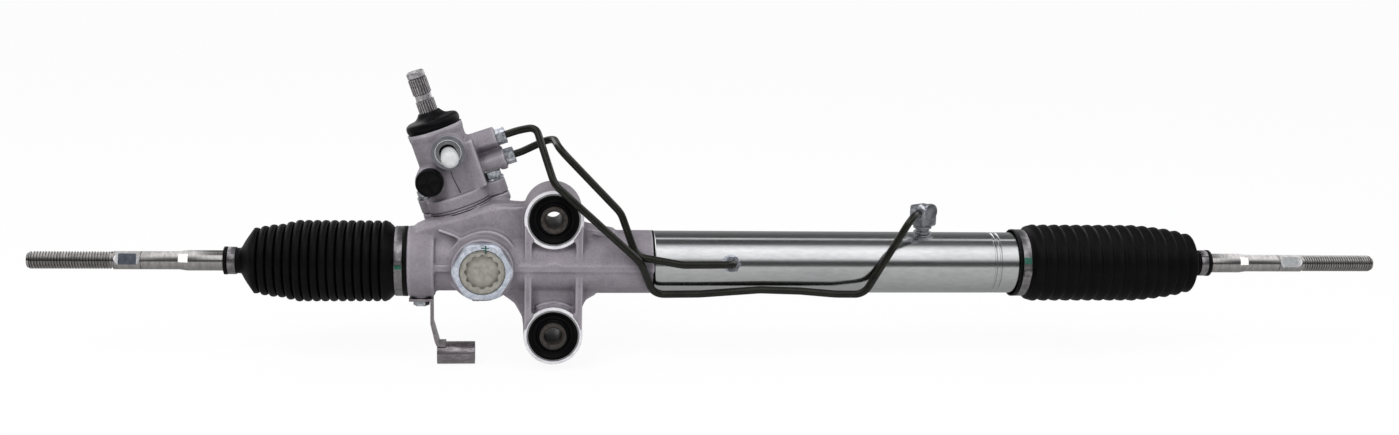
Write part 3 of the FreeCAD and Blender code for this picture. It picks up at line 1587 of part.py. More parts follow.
def route_corners(route, count):
    """The named corners of a pipe's route, given in the part's frame."""
    return [rack_point(*[getattr(S, "%s_%s_%s" % (route, letter, part)) for part in "xyz"])
            for letter in "abcde"[:count]]


def left_turn_tube():
    """The pipe from the lower valve port to the port on the front of the tube."""
    rise = S.left_port_rise
    corners = [
        tower_point(S.low_port_end - S.pipe_inset, 0.0, S.low_port_up),
        tower_point(S.low_port_end + S.low_port_reach, 0.0, S.low_port_up),
    ]
    corners += route_corners("low_pipe", len(LOW_PIPE_CORNERS))
    for reach in (S.tube_port_reach, S.tube_port_inset):
        out = S.tube_radius + reach
        corners.append(rack_point(S.left_port_x, -out * cosine(rise), out * sine(rise)))
    return bent_pipe("left_turn_tube", corners)


def right_turn_tube():
    """The pipe from the upper valve port along the tube to the union on its far side."""
    port = union_port_height()
    face = S.union_size * -0.5
    corners = [
        tower_point(S.high_port_end - S.pipe_inset, 0.0, S.high_port_up),
        tower_point(S.high_port_end + S.high_port_reach, 0.0, S.high_port_up),
    ]
    corners += route_corners("high_pipe", len(HIGH_PIPE_CORNERS))
    for letter in "abcdef"[:len(TUBE_RUN_CORNERS)]:
        out = S.tube_radius + S.pipe_radius + getattr(S, "tube_run_%s_gap" % letter)
        turn = getattr(S, "tube_run_%s_turn" % letter)
        corners.append(rack_point(getattr(S, "tube_run_%s_x" % letter), -out * cosine(turn),
                                  -out * sine(turn)))
    corners.append(union_point(0.0, face - S.union_reach, port))
    corners.append(union_point(0.0, face + S.union_inset, port))
    return bent_pipe("right_turn_tube", corners)


def flare_nut(name, point, direction):
    """A hexagon flare nut around a pipe."""
    body = hexagon(name + "_form", S.flare_nut_across, S.flare_nut_length, point, direction)
    bore = cylinder(name + "_bore", S.pipe_radius, S.flare_nut_length, point, direction)
    return cut(name, body, bore)


def flare_nuts():
    """The four flare nuts that hold the pipes at their ports."""
    rise = S.left_port_rise
    reach = S.tube_radius + S.left_port_height
    nuts = [
        flare_nut("high_port_nut", tower_point(S.high_port_end, 0.0, S.high_port_up), ACROSS_TOWER),
        flare_nut("low_port_nut", tower_point(S.low_port_end, 0.0, S.low_port_up), ACROSS_TOWER),
        flare_nut("left_port_nut", rack_point(S.left_port_x, -reach * cosine(rise),
                                              reach * sine(rise)), (X_AXIS, 90.0 - rise)),
    ]
    union_face = union_point(0.0, S.union_size * -0.5, union_port_height())
    nuts.append(flare_nut("union_nut", union_face, union_port_direction()))
    return set_of("flare_nuts", *nuts)


# Boots and bands

def boot_shape(collar, folds, neck):
    """A closed bellows skin from its outer line, with an even wall inwards."""
    wall = value_of(S.boot_wall)
    outer = collar[0] + folds + neck[0]
    inner = collar[1] + [(x, radius - wall) for x, radius in folds] + neck[1]
    corners = [FreeCAD.Vector(x, 0, radius) for x, radius in outer + list(reversed(inner))]
    face = Part.Face(Part.makePolygon(corners + [corners[0]]))
    return face.revolve(FreeCAD.Vector(0, 0, 0), X_AXIS, 360)


def fold_line(first, pitch, peaks, depth):
    """Peaks and valleys of a bellows from its first peak on."""
    line = []
    for index, peak in enumerate(peaks):
        x = first + pitch * index
        line.append((x - pitch * 0.14, peak))
        line.append((x + pitch * 0.14, peak))
        if index < len(peaks) - 1:
            valley = min(peak, peaks[index + 1]) - depth
            line.append((x + pitch * 0.42, valley))
            line.append((x + pitch * 0.58, valley))
    return line


def left_boot():
    """The bellows from the barrel to the left tie rod."""
    count = int(value_of(S.left_boot_folds))
    full = value_of(S.boot_radius)
    peaks = [full] * (count - len(LEFT_TAPER))
    peaks += [full - value_of(getattr(S, "left_taper_%s" % letter)) for letter in "abcde"]
    first = value_of(S.left_boot_peak_x)
    pitch = -value_of(S.left_boot_pitch)
    last = first + pitch * (count - 1)
    inner = value_of(S.boot_seat_radius)
    outer = inner + value_of(S.collar_wall)
    end = value_of(S.boot_seat_end)
    wall = value_of(S.boot_wall)
    bead = value_of(S.boot_bead)
    bead_width = value_of(S.left_bead_width)
    collar = (
        [(end, outer + bead), (end - bead_width, outer + bead), (end - bead_width, outer),
         (value_of(S.boot_seat_start), outer)],
        [(end, inner), (value_of(S.boot_seat_start), inner)],
    )
    bore = value_of(S.rod_radius + S.soft_gap)
    neck_radius = value_of(S.boot_neck_radius)
    cone = last - value_of(S.left_cone)
    neck_end = last - value_of(S.left_neck)
    lip_end = last - value_of(S.left_neck_lip)
    neck = (
        [(cone, neck_radius), (neck_end, neck_radius), (neck_end, neck_radius + bead),
         (lip_end, neck_radius + bead)],
        [(cone + 1, neck_radius - wall), (cone - value_of(S.cone_bore_gap), bore),
         (lip_end, bore)],
    )
    folds = fold_line(first, pitch, peaks, value_of(S.left_fold_depth))
    return shaped("left_boot", boot_shape(collar, folds, neck), RACK)


def right_boot():
    """The bellows from the cylinder end to the right tie rod."""
    count = int(value_of(S.right_boot_folds))
    full = value_of(S.boot_radius)
    peaks = [full] * (count - len(RIGHT_TAPER))
    peaks += [full - value_of(getattr(S, "right_taper_%s" % letter)) for letter in "abcd"]
    first = value_of(S.right_boot_peak_x)
    pitch = value_of(S.right_boot_pitch)
    last = first + pitch * (count - 1)
    inner = value_of(S.tube_radius)
    outer = inner + value_of(S.collar_wall)
    start = value_of(S.right_boot_start)
    wall = value_of(S.boot_wall)
    bead = value_of(S.boot_bead)
    bead_end = start + value_of(S.right_bead_width)
    collar_end = first - value_of(S.right_collar_end)
    collar = (
        [(start, outer + bead), (bead_end, outer + bead), (bead_end, outer),
         (collar_end, outer)],
        [(start, inner), (collar_end, inner)],
    )
    bore = value_of(S.rod_radius + S.soft_gap)
    neck_radius = value_of(S.boot_neck_radius)
    cone = last + value_of(S.right_cone)
    neck_end = last + value_of(S.right_neck)
    lip_end = last + value_of(S.right_neck_lip)
    neck = (
        [(cone, neck_radius), (neck_end, neck_radius), (neck_end, neck_radius + bead),
         (lip_end, neck_radius + bead)],
        [(cone - 1, neck_radius - wall), (cone + value_of(S.cone_bore_gap), bore),
         (lip_end, bore)],
    )
    folds = fold_line(first, pitch, peaks, value_of(S.right_fold_depth))
    return shaped("right_boot", boot_shape(collar, folds, neck), RACK)


def boot_clamps():
    """The wide band on each boot collar."""
    left_outer = S.boot_seat_radius + S.collar_wall
    right_outer = S.tube_radius + S.collar_wall
    left_start = S.boot_seat_end - S.left_bead_width
    right_start = S.right_boot_start + S.right_clamp_start
    return [
        ring("left_boot_clamp", "X", left_start - S.clamp_width, left_start,
             left_outer + S.clamp_thick, left_outer, RACK),
        ring("right_boot_clamp", "X", right_start, right_start + S.right_clamp_width,
             right_outer + S.clamp_thick, right_outer, RACK),
    ]


def boot_clips():
    """The narrow band on each boot neck; it moves with the tie rod."""
    left_last = S.left_boot_peak_x - S.left_boot_pitch * (S.left_boot_folds - 1)
    right_last = S.right_boot_peak_x + S.right_boot_pitch * (S.right_boot_folds - 1)
    inner = S.boot_neck_radius + S.running_gap
    left_end = left_last - S.left_clip_end
    right_start = right_last + S.right_clip_start
    return [
        ring("left_boot_clip", "X", left_end - S.clip_width, left_end, inner + S.clip_thick, inner,
             RACK),
        ring("right_boot_clip", "X", right_start, right_start + S.clip_width,
             inner + S.clip_thick, inner, RACK),
    ]


# Hose bracket

def hose_bracket():
    """The sheet bracket bolted under the shoulder, ending in a rolled sleeve."""
    sheet_thick = S.bracket_sheet
    top = -S.shoulder_radius - S.pad_height
    half = S.bracket_width / 2
    start = S.bracket_x - S.bracket_sleeve_length / 2
    low = -S.bracket_drop
    tab_left = S.bracket_tab_x - S.bracket_tab_length / 2
    tab_right = S.bracket_tab_x + S.bracket_tab_length / 2
    outline = [
        (tab_left, top),
        (tab_left, top - sheet_thick),
        (tab_right - sheet_thick - S.bracket_bend, top - sheet_thick),
        (tab_right - sheet_thick, top - sheet_thick - S.bracket_bend),
        (tab_right - sheet_thick, top - S.bracket_strap_drop),
        (start - 2, low + S.bracket_sleeve_radius + 2),
        (start, low + S.bracket_sleeve_radius - sheet_thick),
        (start + S.bracket_strap_lap, low + S.bracket_sleeve_radius - sheet_thick),
        (start + S.bracket_strap_lap, low + S.bracket_sleeve_radius),
        (start + 2, low + S.bracket_sleeve_radius),
        (tab_right, top - S.bracket_strap_drop),
        (tab_right, top),
    ]
    strap = plate("bracket_strap", "XZ_Plane", outline, S.bracket_width,
                  rack_point(0.0, -half, 0.0))
    sleeve = cylinder("bracket_sleeve", S.bracket_sleeve_radius, S.bracket_sleeve_length,
                      rack_point(start, 0.0, low), ALONG_X)
    bore = cylinder("bracket_sleeve_bore", S.bracket_sleeve_radius - sheet_thick,
                    S.bracket_sleeve_length + 2, rack_point(start - 1, 0.0, low), ALONG_X)
    hole = cylinder("bracket_hole", S.bracket_bolt_radius, sheet_thick + 2,
                    rack_point(S.bracket_tab_x, 0.0, top - sheet_thick - 1))
    return cut("hose_bracket", fuse("bracket_form", strap, sleeve), bore, hole)


def bracket_bolt():
    """The bolt that holds the bracket from below."""
    top = -S.shoulder_radius - S.pad_height
    under = top - S.bracket_sheet
    shank = cylinder("bracket_bolt_shank", S.bracket_bolt_radius,
                     S.bracket_sheet + S.bracket_bolt_reach,
                     rack_point(S.bracket_tab_x, 0.0, under))
    head = hexagon("bracket_bolt_hexagon", S.bracket_bolt_across, S.bracket_bolt_head,
                   rack_point(S.bracket_tab_x, 0.0, under - S.bracket_bolt_head))
    return fuse("bracket_bolt", shank, head)


def build():
    """Make every piece of the gear and return them."""
    pieces = [rack_housing(), rack_guide(), rack_guide_liner(), guide_spring(), guide_cap(),
              guide_lock_nut(), valve_housing(), valve_housing_bolts(), pressure_port_seat(),
              pressure_port_plug(), return_port_cap(), dust_cover(), pinion(), valve_sleeve(),
              sleeve_rings(), input_shaft(), torsion_bar(), pinion_nut(), pinion_bottom_cap(),
              rack_bar(), rack_piston(), piston_ring(), piston_snap_rings(), claw_washers(),
              cylinder_tube(), left_port_boss(), right_port_union(), cylinder_end_stopper(),
              left_turn_tube(), right_turn_tube(), flare_nuts(), left_boot(), right_boot(),
              hose_bracket(), bracket_bolt()]
    for side, point in zip(("upper", "lower"), mount_points(0.0)):
        pieces += mounting_bush(side, point)
    for side, ball_x, sign in (("left", S.left_ball_x, -1), ("right", S.right_ball_x, 1)):
        pieces.append(socket(side + "_socket", ball_x, sign))
        pieces.append(ball_seat(side + "_ball_seat", ball_x, sign))
        pieces.append(tie_rod(side + "_tie_rod", ball_x, sign))
    pieces += tower_bearings()
    pieces += rack_seals()
    pieces += boot_clamps()
    pieces += boot_clips()
    return pieces


def check(pieces):
    """Stop if an object failed to recompute or a piece has no valid shape."""
    for item in doc.Objects:
        if "Invalid" in item.State or "Error" in item.State:
            raise RuntimeError("%s failed: %s" % (item.Label, item.State))
    for piece in pieces:
        if piece.Shape.isNull() or not piece.Shape.isValid() or not piece.Shape.Solids:
            raise RuntimeError("%s has no valid solid" % piece.Label)


pieces = build()
doc.recompute()
check(pieces)
os.makedirs("parts", exist_ok=True)
for piece in pieces:
    piece.Shape.exportStep(os.path.join("parts", piece.Label + ".step"))
print("%d pieces" % len(pieces))
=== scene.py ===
"""Hydraulic steering rack with boots and tie rods, dressed for its studio picture."""

import json
import logging
import math
from collections.abc import Iterable, Sequence
from dataclasses import dataclass
from enum import Enum
from typing import Any

import bmesh
import bpy
from mathutils import Matrix, Vector

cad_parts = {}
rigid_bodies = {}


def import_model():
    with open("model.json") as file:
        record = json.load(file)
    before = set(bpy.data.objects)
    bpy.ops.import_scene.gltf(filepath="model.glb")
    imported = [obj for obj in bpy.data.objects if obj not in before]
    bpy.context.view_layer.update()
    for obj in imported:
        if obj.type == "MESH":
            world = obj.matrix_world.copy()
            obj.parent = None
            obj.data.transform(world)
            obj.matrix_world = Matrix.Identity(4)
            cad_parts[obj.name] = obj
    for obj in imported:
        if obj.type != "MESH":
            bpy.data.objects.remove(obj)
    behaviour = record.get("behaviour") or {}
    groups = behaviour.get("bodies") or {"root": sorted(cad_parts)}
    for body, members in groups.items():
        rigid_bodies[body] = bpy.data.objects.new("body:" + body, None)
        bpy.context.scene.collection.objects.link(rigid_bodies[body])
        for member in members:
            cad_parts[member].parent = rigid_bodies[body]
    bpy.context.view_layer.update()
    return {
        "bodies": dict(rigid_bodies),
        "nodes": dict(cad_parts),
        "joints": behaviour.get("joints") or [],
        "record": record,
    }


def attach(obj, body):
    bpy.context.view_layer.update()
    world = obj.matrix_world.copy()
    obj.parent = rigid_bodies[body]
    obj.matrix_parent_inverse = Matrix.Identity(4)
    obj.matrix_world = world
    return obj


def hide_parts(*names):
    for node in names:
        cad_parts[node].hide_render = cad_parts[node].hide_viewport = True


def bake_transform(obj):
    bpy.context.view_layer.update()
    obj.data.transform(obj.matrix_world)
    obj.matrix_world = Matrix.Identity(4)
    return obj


LOG = logging.getLogger("rack")

Outline = Sequence[tuple[float, float]]
Colour = tuple[float, float, float, float]

MM = 0.001
WELD_MM = 0.0002  # points closer than this become one
ROUND_TURN = 96  # facets round a part of middling size


def turned(degrees: float, axis: str) -> Matrix:
    """Rotation about one axis by an angle in degrees."""
    return Matrix.Rotation(math.radians(degrees), 4, axis)


def moved(x: float = 0.0, y: float = 0.0, z: float = 0.0) -> Matrix:
    """Shift along the three axes."""
    return Matrix.Translation((x, y, z))


# Local frames of the drawing, in millimetres, each turned into metres of the part
RACK = Matrix.Scale(MM, 4) @ moved(z=-45.0)
ALONG = RACK @ turned(90.0, "Y")
TOWER = RACK @ moved(-68.0, 15.5) @ turned(-19.0, "Y")
FACING = turned(90.0, "X")


def front(x: float, z: float) -> Matrix:
    """Frame whose z axis leaves the rack towards the front at (x, z)."""
    return RACK @ moved(x, 0.0, z) @ FACING


def tower_front(across: float, up: float) -> Matrix:
    """Frame whose z axis leaves the valve tower towards the front."""
    return TOWER @ moved(across, 0.0, up) @ FACING


def arc(centre: tuple[float, float], radius: float, start: float, end: float,
        steps: int = 18) -> list[tuple[float, float]]:
    """Points along a circular arc.

    Args:
        centre: Its centre.
        radius: Its radius.
        start: First angle, in degrees.
        end: Last angle.
        steps: How many chords it has.

    Returns:
        The points in order.
    """
    angles = [math.radians(start + (end - start) * index / steps) for index in range(steps + 1)]
    return [(centre[0] + radius * math.cos(a), centre[1] + radius * math.sin(a)) for a in angles]


def linear(code: str) -> Colour:
    """Turns six hex digits of an sRGB colour into linear colour."""
    parts = [int(code[i:i + 2], 16) / 255.0 for i in (0, 2, 4)]
    red, green, blue = [c / 12.92 if c <= 0.04045 else ((c + 0.055) / 1.055) ** 2.4 for c in parts]
    return (red, green, blue, 1.0)


def grey(value: float) -> Colour:
    """A faintly cool neutral of one linear value."""
    return (value, value, value * 1.02, 1.0)


class Graph:
    """Node tree of one material or world, with short ways to add its nodes."""

    def __init__(self, owner: bpy.types.Material | bpy.types.World) -> None:
        """Starts the tree of its owner empty."""
        owner.use_nodes = True
        self.tree = owner.node_tree
        self.tree.nodes.clear()

    def add(self, kind: str, feeds: dict[Any, Any] | None = None,
            **settings: Any) -> bpy.types.Node:
        """Adds a shader node with its settings and its links.

        Args:
            kind: Type of the node, without the prefix that all of them share.
            feeds: Values or output sockets by input name or number.
            settings: Properties of the node; stops gives a colour ramp its places.

        Returns:
            The new node.
        """
        made = self.tree.nodes.new(f"ShaderNode{kind}")
        stops = settings.pop("stops", ())
        for name, value in settings.items():
            setattr(made, name, value)
        if stops:
            row = made.color_ramp.elements
            while len(row) < len(stops):
                row.new(0.5)
            for element, (place, colour) in zip(row, stops):
                element.position = place
                element.color = colour
        for name, value in (feeds or {}).items():
            socket = made.inputs[name]
            if isinstance(value, bpy.types.NodeSocket):
                self.tree.links.new(value, socket)
            else:
                socket.default_value = value
        return made

    def remap(self, value: Any, start: float, end: float, low: float = 0.0,
              high: float = 1.0) -> bpy.types.NodeSocket:
        """Turns the span from start to end into the span from low to high."""
        return self.add("MapRange", {"Value": value, "From Min": start, "From Max": end,
                                     "To Min": low, "To Max": high}).outputs[0]

    def mix(self, share: Any, first: Any, second: Any,
            blend: str = "MIX") -> bpy.types.NodeSocket:
        """Mixes two colours by a share."""
        return self.add("Mix", {0: share, 6: first, 7: second}, data_type="RGBA",
                        blend_type=blend).outputs[2]

    def ramp(self, value: Any, stops: Sequence[tuple[float, Colour]]) -> bpy.types.NodeSocket:
        """Looks a value up in a row of colours."""
        return self.add("ValToRGB", {"Fac": value}, stops=stops).outputs[0]

    def maths(self, operation: str, *values: Any) -> bpy.types.NodeSocket:
        """Works one operation out on numbers or sockets."""
        return self.add("Math", dict(enumerate(values)), operation=operation).outputs[0]

    def noise(self, place: Any, lump_mm: float, detail: float,
              roughness: float) -> bpy.types.NodeSocket:
        """Cloudy noise with lumps of about one size."""
        return self.add("TexNoise", {"Vector": place, "Scale": 1.0 / (lump_mm * MM),
                                     "Detail": detail, "Roughness": roughness}).outputs["Fac"]


@dataclass(frozen=True)
class Finish:
    """One real surface: what it is made of, how it was made, and its scale in millimetres."""

    name: str
    slot: str
    light: str
    dark: str
    metallic: float
    roughness: float
    spread: float
    mottle_mm: float
    grain_mm: float
    depth_mm: float
    stretch: tuple[float, float, float] = (1.0, 1.0, 1.0)
    speck: str = ""
    speck_mm: float = 6.0
    edge: str = ""
    # colour of crevice dirt with painted shade, and how far the ambient occlusion reaches
    crevice_dirt_and_shade: str = ""
    crevice_reach_mm: float = 5.0
    specular: float = 0.5
    coat: float = 0.0
    milk: float = 0.0
    grain_tone: float = 0.06

    def colour(self, graph: Graph, drawn: Any, mottle: Any, grain: Any) -> Any:
        """Lays mottle, grain, specks, rubbed edges with a painted highlight, and crevice dirt with
        painted shade over each other.

        Args:
            graph: Node tree that gets the nodes.
            drawn: Place on the object, stretched along the way it was worked.
            mottle: Broad noise.
            grain: Fine noise.

        Returns:
            The output that holds the colour.
        """
        colour = graph.ramp(mottle, [(0.3, linear(self.dark)), (0.7, linear(self.light))])
        tone = self.grain_tone
        colour = graph.mix(1.0, colour, graph.remap(grain, 0.3, 0.7, 1.0 - tone * 1.2, 1.0 + tone),
                           "MULTIPLY")
        if self.speck:
            cells = graph.add("TexVoronoi", {"Vector": drawn, "Scale": 1.0 / (self.speck_mm * MM),
                                             "Randomness": 1.0}).outputs["Distance"]
            colour = graph.mix(graph.remap(cells, 0.04, 0.16, 0.7, 0.0), colour,
                               linear(self.speck))
        # rubbed edges, lighter where the mesh is pointy: partly wear, partly a painted highlight
        if self.edge:
            point = graph.add("NewGeometry").outputs["Pointiness"]
            colour = graph.mix(graph.remap(point, 0.505, 0.56, 0.0, 0.75), colour,
                               linear(self.edge))
        # crevices darkened by ambient occlusion: partly dirt, partly painted shade
        if self.crevice_dirt_and_shade:
            air = graph.add("AmbientOcclusion", {"Distance": self.crevice_reach_mm * MM}, samples=6)
            colour = graph.mix(graph.remap(air.outputs["AO"], 0.35, 0.9, 0.75, 0.0), colour,
                               linear(self.crevice_dirt_and_shade))
        return colour

    def build(self) -> bpy.types.Material:
        """Makes the node material of this surface.

        Returns:
            The material, ready to be given to a mesh.
        """
        material = bpy.data.materials.new(self.name)
        graph = Graph(material)
        place = graph.add("TexCoord").outputs["Object"]
        drawn = graph.add("Mapping", {"Vector": place, "Scale": self.stretch}).outputs[0]
        mottle = graph.noise(drawn, self.mottle_mm, 6.0, 0.62)
        grain = graph.noise(drawn, self.grain_mm, 4.0, 0.6)
        rough = graph.remap(mottle, 0.3, 0.7, self.roughness + self.spread,
                            max(self.roughness - self.spread, 0.03))
        relief = graph.add("Bump", {"Height": grain, "Distance": self.depth_mm * MM,
                                    "Strength": 1.0}).outputs[0]
        shader = graph.add("BsdfPrincipled", {
            "Base Color": self.colour(graph, drawn, mottle, grain), "Roughness": rough,
            "Normal": relief, "Metallic": self.metallic, "Specular IOR Level": self.specular,
            "Coat Weight": self.coat, "Coat Roughness": 0.12, "Subsurface Weight": self.milk,
            "Subsurface Radius": (0.004, 0.0035, 0.003)})
        graph.add("OutputMaterial", {"Surface": shader.outputs[0]})
        return material


class Surface(Enum):
    """Every finish on the rack. The first one with a slot dresses the solids of that slot."""

    # Sand-cast aluminium, shot-blasted: even purple-grey matt grain, lighter on rubbed edges with a
    # painted highlight, darker in crevices with dirt and painted shade
    CASTING = Finish("sand_cast_aluminium", "cast_aluminium", "928C93", "7B757C", 0.3, 0.56, 0.06,
                     26.0, 1.5, 0.2, edge="B4AFB6", crevice_dirt_and_shade="37333A", crevice_reach_mm=9.0, speck="6D6770",
                     speck_mm=7.0, grain_tone=0.13)
    # Aluminium faces cut by a mill or lathe after casting: bright, with fine tool marks
    MACHINED = Finish("machined_aluminium", "machined_aluminium", "EDEBEE", "D2D0D4", 0.35, 0.4,
                      0.08, 9.0, 0.8, 0.02)
    # Port face cut after casting: duller blue-grey, with fine rings of the tool and painted shade
    # in its hollows
    PORT_FACE = Finish("spot_faced_aluminium", "machined_aluminium", "85868C", "62646A", 0.6, 0.42,
                       0.1, 5.0, 0.7, 0.05, crevice_dirt_and_shade="2E3036")
    # Steel cylinder tube, ground and polished: mirror with faint lengthwise scuffs
    TUBE = Finish("polished_steel_tube", "polished_tube", "D8D9D8", "C8CACA", 1.0, 0.17, 0.04,
                  40.0, 3.0, 0.004, stretch=(0.3, 1.0, 1.0))
    # Bright zinc plate on steel: cool blue-white with a slight bloom
    ZINC = Finish("bright_zinc_plate", "zinc_plate", "DFE4EE", "AEB6C4", 0.7, 0.3, 0.1, 4.0, 0.9,
                  0.03)
    # Older zinc plate of the bolts and flare nuts, handled and darker, with painted shade in its
    # corners
    WORN_ZINC = Finish("worn_zinc_plate", "zinc_plate", "E2E5EA", "656B76", 0.8, 0.24, 0.1, 2.4,
                       0.8, 0.03, crevice_dirt_and_shade="15171A", crevice_reach_mm=3.0)
    # Turned and blued steel of the union block
    BLOCK = Finish("turned_union_steel", "zinc_plate", "AFB1B5", "8E9196", 1.0, 0.3, 0.05, 7.0,
                   0.8, 0.015)
    # Hardened bearing steel, ground
    BEARING = Finish("ground_bearing_steel", "bearing_steel", "B9B9BC", "8E8E92", 1.0, 0.28, 0.06,
                     10.0, 0.9, 0.01)
    # Induction-hardened steel bar, ground bright
    GROUND = Finish("ground_bar_steel", "ground_steel", "BDBDBE", "9A9A9C", 1.0, 0.26, 0.06, 14.0,
                    0.9, 0.01, stretch=(4.0, 1.0, 1.0))
    # Machined alloy steel shaft, with painted shade between its spline teeth
    SHAFT = Finish("machined_shaft_steel", "shaft_steel", "DAD7D8", "8C888B", 0.75, 0.27, 0.08,
                   3.0, 0.7, 0.02, crevice_dirt_and_shade="0A090A", crevice_reach_mm=1.8)
    # Forged and turned tie rod, oiled bright steel, with painted shade in its thread roots
    ROD = Finish("turned_rod_steel", "rod_steel", "C4C1BE", "A09D9C", 1.0, 0.2, 0.05, 9.0, 0.9,
                 0.012, crevice_dirt_and_shade="0C0B0C", crevice_reach_mm=2.0, stretch=(3.0, 1.0, 1.0))
    # Milled wrench flat, darker blue-grey steel
    FLAT = Finish("milled_steel_flat", "rod_steel", "7A808B", "565C67", 1.0, 0.34, 0.08, 6.0, 0.8,
                  0.02)
    # The same flat with its grey phosphate worn dull, as on the right rod
    DULL_FLAT = Finish("dull_milled_flat", "rod_steel", "A3A5A6", "86888A", 0.3, 0.5, 0.08, 4.0,
                       0.8, 0.03)
    # Run-out of the milling cutter at both ends of a flat, painted bright as a highlight on its
    # tilted face
    RUN_OUT = Finish("run_out_painted_highlight", "rod_steel", "F0F0F1", "D4D4D6", 0.7, 0.3, 0.06, 4.0,
                     0.8, 0.02)
    # White inspection paint, brushed thin
    WHITE_PAINT = Finish("white_inspection_paint", "rod_steel", "EDEDEA", "D8D8D4", 0.0, 0.5, 0.06,
                         2.5, 0.8, 0.08)
    # Green inspection paint, brushed thin
    GREEN_PAINT = Finish("green_inspection_paint", "zinc_plate", "1E5A49", "123C32", 0.0, 0.5,
                         0.06, 2.0, 0.8, 0.08)
    # Phosphated bush core, dark brown-grey
    BUSH_CORE = Finish("phosphated_steel", "bush_steel", "4C4643", "2C2927", 0.45, 0.5, 0.08, 4.0,
                       0.9, 0.04, specular=0.3)
    # Spring steel, black oiled
    SPRING = Finish("oiled_spring_steel", "spring_steel", "6A6A6D", "4A4A4E", 1.0, 0.38, 0.08, 8.0,
                    1.0, 0.02)
    # Thin stainless strip, rolled bright
    BAND = Finish("stainless_strip", "stainless_band", "A9A7A8", "787577", 1.0, 0.34, 0.08, 5.0,
                  0.8, 0.03)
    # Yellowish zinc on the guide cap with a beige cast, and painted shade in its key recess
    CAP = Finish("chromated_cap_metal", "guide_cap_metal", "BAB7AE", "98958C", 0.6, 0.42, 0.08,
                 5.0, 0.8, 0.06, crevice_dirt_and_shade="191613")
    # Pressed steel sheet, brushed and zinc plated
    SHEET = Finish("brushed_zinc_sheet", "bracket_sheet", "B3ADB0", "867F83", 0.95, 0.3, 0.08, 6.0,
                   0.8, 0.03, stretch=(1.0, 1.0, 3.0))
    # Olive-black baked coating on the steel pipes, glossy
    PIPE = Finish("olive_black_pipe_coating", "pipe_coating", "1B1B15", "0C0D09", 0.0, 0.26, 0.07,
                  14.0, 1.4, 0.03, specular=0.28, coat=0.05)
    # Moulded boot rubber: satin black with a faint bloom
    BOOT = Finish("moulded_boot_rubber", "boot_rubber", "09090A", "040405", 0.0, 0.46, 0.06, 26.0,
                  1.6, 0.03, specular=0.1)
    # Plain moulded rubber of bushes, seals and the cover
    RUBBER = Finish("moulded_black_rubber", "rubber", "08080A", "030304", 0.0, 0.4, 0.06, 12.0,
                    1.2, 0.03, specular=0.12)
    # Painted shade: flat black laid in a deep gap, where shade falls
    GAP = Finish("painted_gap_shade", "rubber", "060606", "030303", 0.0, 0.7, 0.05, 4.0, 0.9, 0.05,
                 specular=0.1)
    # Dusty gasket paper between the castings, dark grey
    GASKET = Finish("pressed_gasket_paper", "rubber", "34313A", "1D1B20", 0.0, 0.8, 0.05, 1.8, 0.7,
                    0.08, specular=0.2)
    # Injection-moulded black plastic cap
    BLACK_PLASTIC = Finish("moulded_black_plastic", "black_plastic", "0A0A0B", "050506", 0.0, 0.45,
                           0.06, 10.0, 0.9, 0.03, specular=0.16)
    # Milky polyethylene plug: light glows through its rim
    WHITE_PLASTIC = Finish("milky_polyethylene", "white_plastic", "C2C4C4", "B0B2B3", 0.0, 0.42,
                           0.05, 6.0, 1.2, 0.02, milk=0.12)
    # Low-friction liner plastic, off-white
    LINER = Finish("liner_polymer", "liner_plastic", "CFC9BA", "B5AF9F", 0.0, 0.45, 0.06, 8.0, 1.0,
                   0.02)


FROM_SLOT = {each.value.slot: each for each in reversed(Surface)}
FROM_NODE = dict.fromkeys(("flare_nuts", "valve_housing_bolts", "bracket_bolt"), Surface.WORN_ZINC)


class Paintbox:
    """Makes each material once."""

    def __init__(self) -> None:
        """Starts with no material made."""
        self.made: dict[Surface, bpy.types.Material] = {}

    def get(self, surface: Surface) -> bpy.types.Material:
        """Returns the material of a surface, made when it is first asked for."""
        if surface not in self.made:
            self.made[surface] = surface.value.build()
        return self.made[surface]


PAINTS = Paintbox()


def profile(outline: Outline, closed: bool = False, start: float = 0.0) -> bmesh.types.BMesh:
    """Draws a line beside the z axis, ready to be turned.

    Args:
        outline: Pairs of radius and station.
        closed: Whether the last point joins the first.
        start: Angle about the axis at which the line stands, in degrees.

    Returns:
        A shape that holds the line alone.
    """
    shape = bmesh.new()
    points = [shape.verts.new((radius, 0.0, station)) for radius, station in outline]
    for pair in zip(points, points[1:] + (points[:1] if closed else [])):
        shape.edges.new(pair)
    bmesh.ops.rotate(shape, matrix=turned(start, "Z").to_3x3(), verts=points)
    return shape


def sweep(shape: bmesh.types.BMesh, steps: int, angle: float = math.tau, pitch: float = 0.0,
          merge: bool = False) -> None:
    """Turns a drawn line about the z axis.

    Args:
        shape: The line, which becomes a skin.
        steps: Facets round the axis.
        angle: Angle of the turn, in radians.
        pitch: How far a whole turn rises.
        merge: Whether the last station joins the first.
    """
    bmesh.ops.spin(shape, geom=shape.verts[:] + shape.edges[:], cent=(0, 0, 0), axis=(0, 0, 1),
                   dvec=(0.0, 0.0, pitch / steps), angle=angle, steps=steps, use_merge=merge,
                   use_duplicate=False)


def lathe(shape: bmesh.types.BMesh, steps: int) -> bmesh.types.BMesh:
    """Turns a drawn line once round the z axis and welds its seam."""
    sweep(shape, steps, merge=True)
    bmesh.ops.remove_doubles(shape, verts=shape.verts[:], dist=WELD_MM)
    return shape


def dab(outline: Outline, angles: tuple[float, float], steps: int) -> bmesh.types.BMesh:
    """Turns a closed line through a part of a circle, between two angles in degrees."""
    shape = profile(outline, True, angles[0])
    sweep(shape, steps, math.radians(angles[1] - angles[0]))
    bmesh.ops.holes_fill(shape, edges=shape.edges[:], sides=len(outline))
    return shape


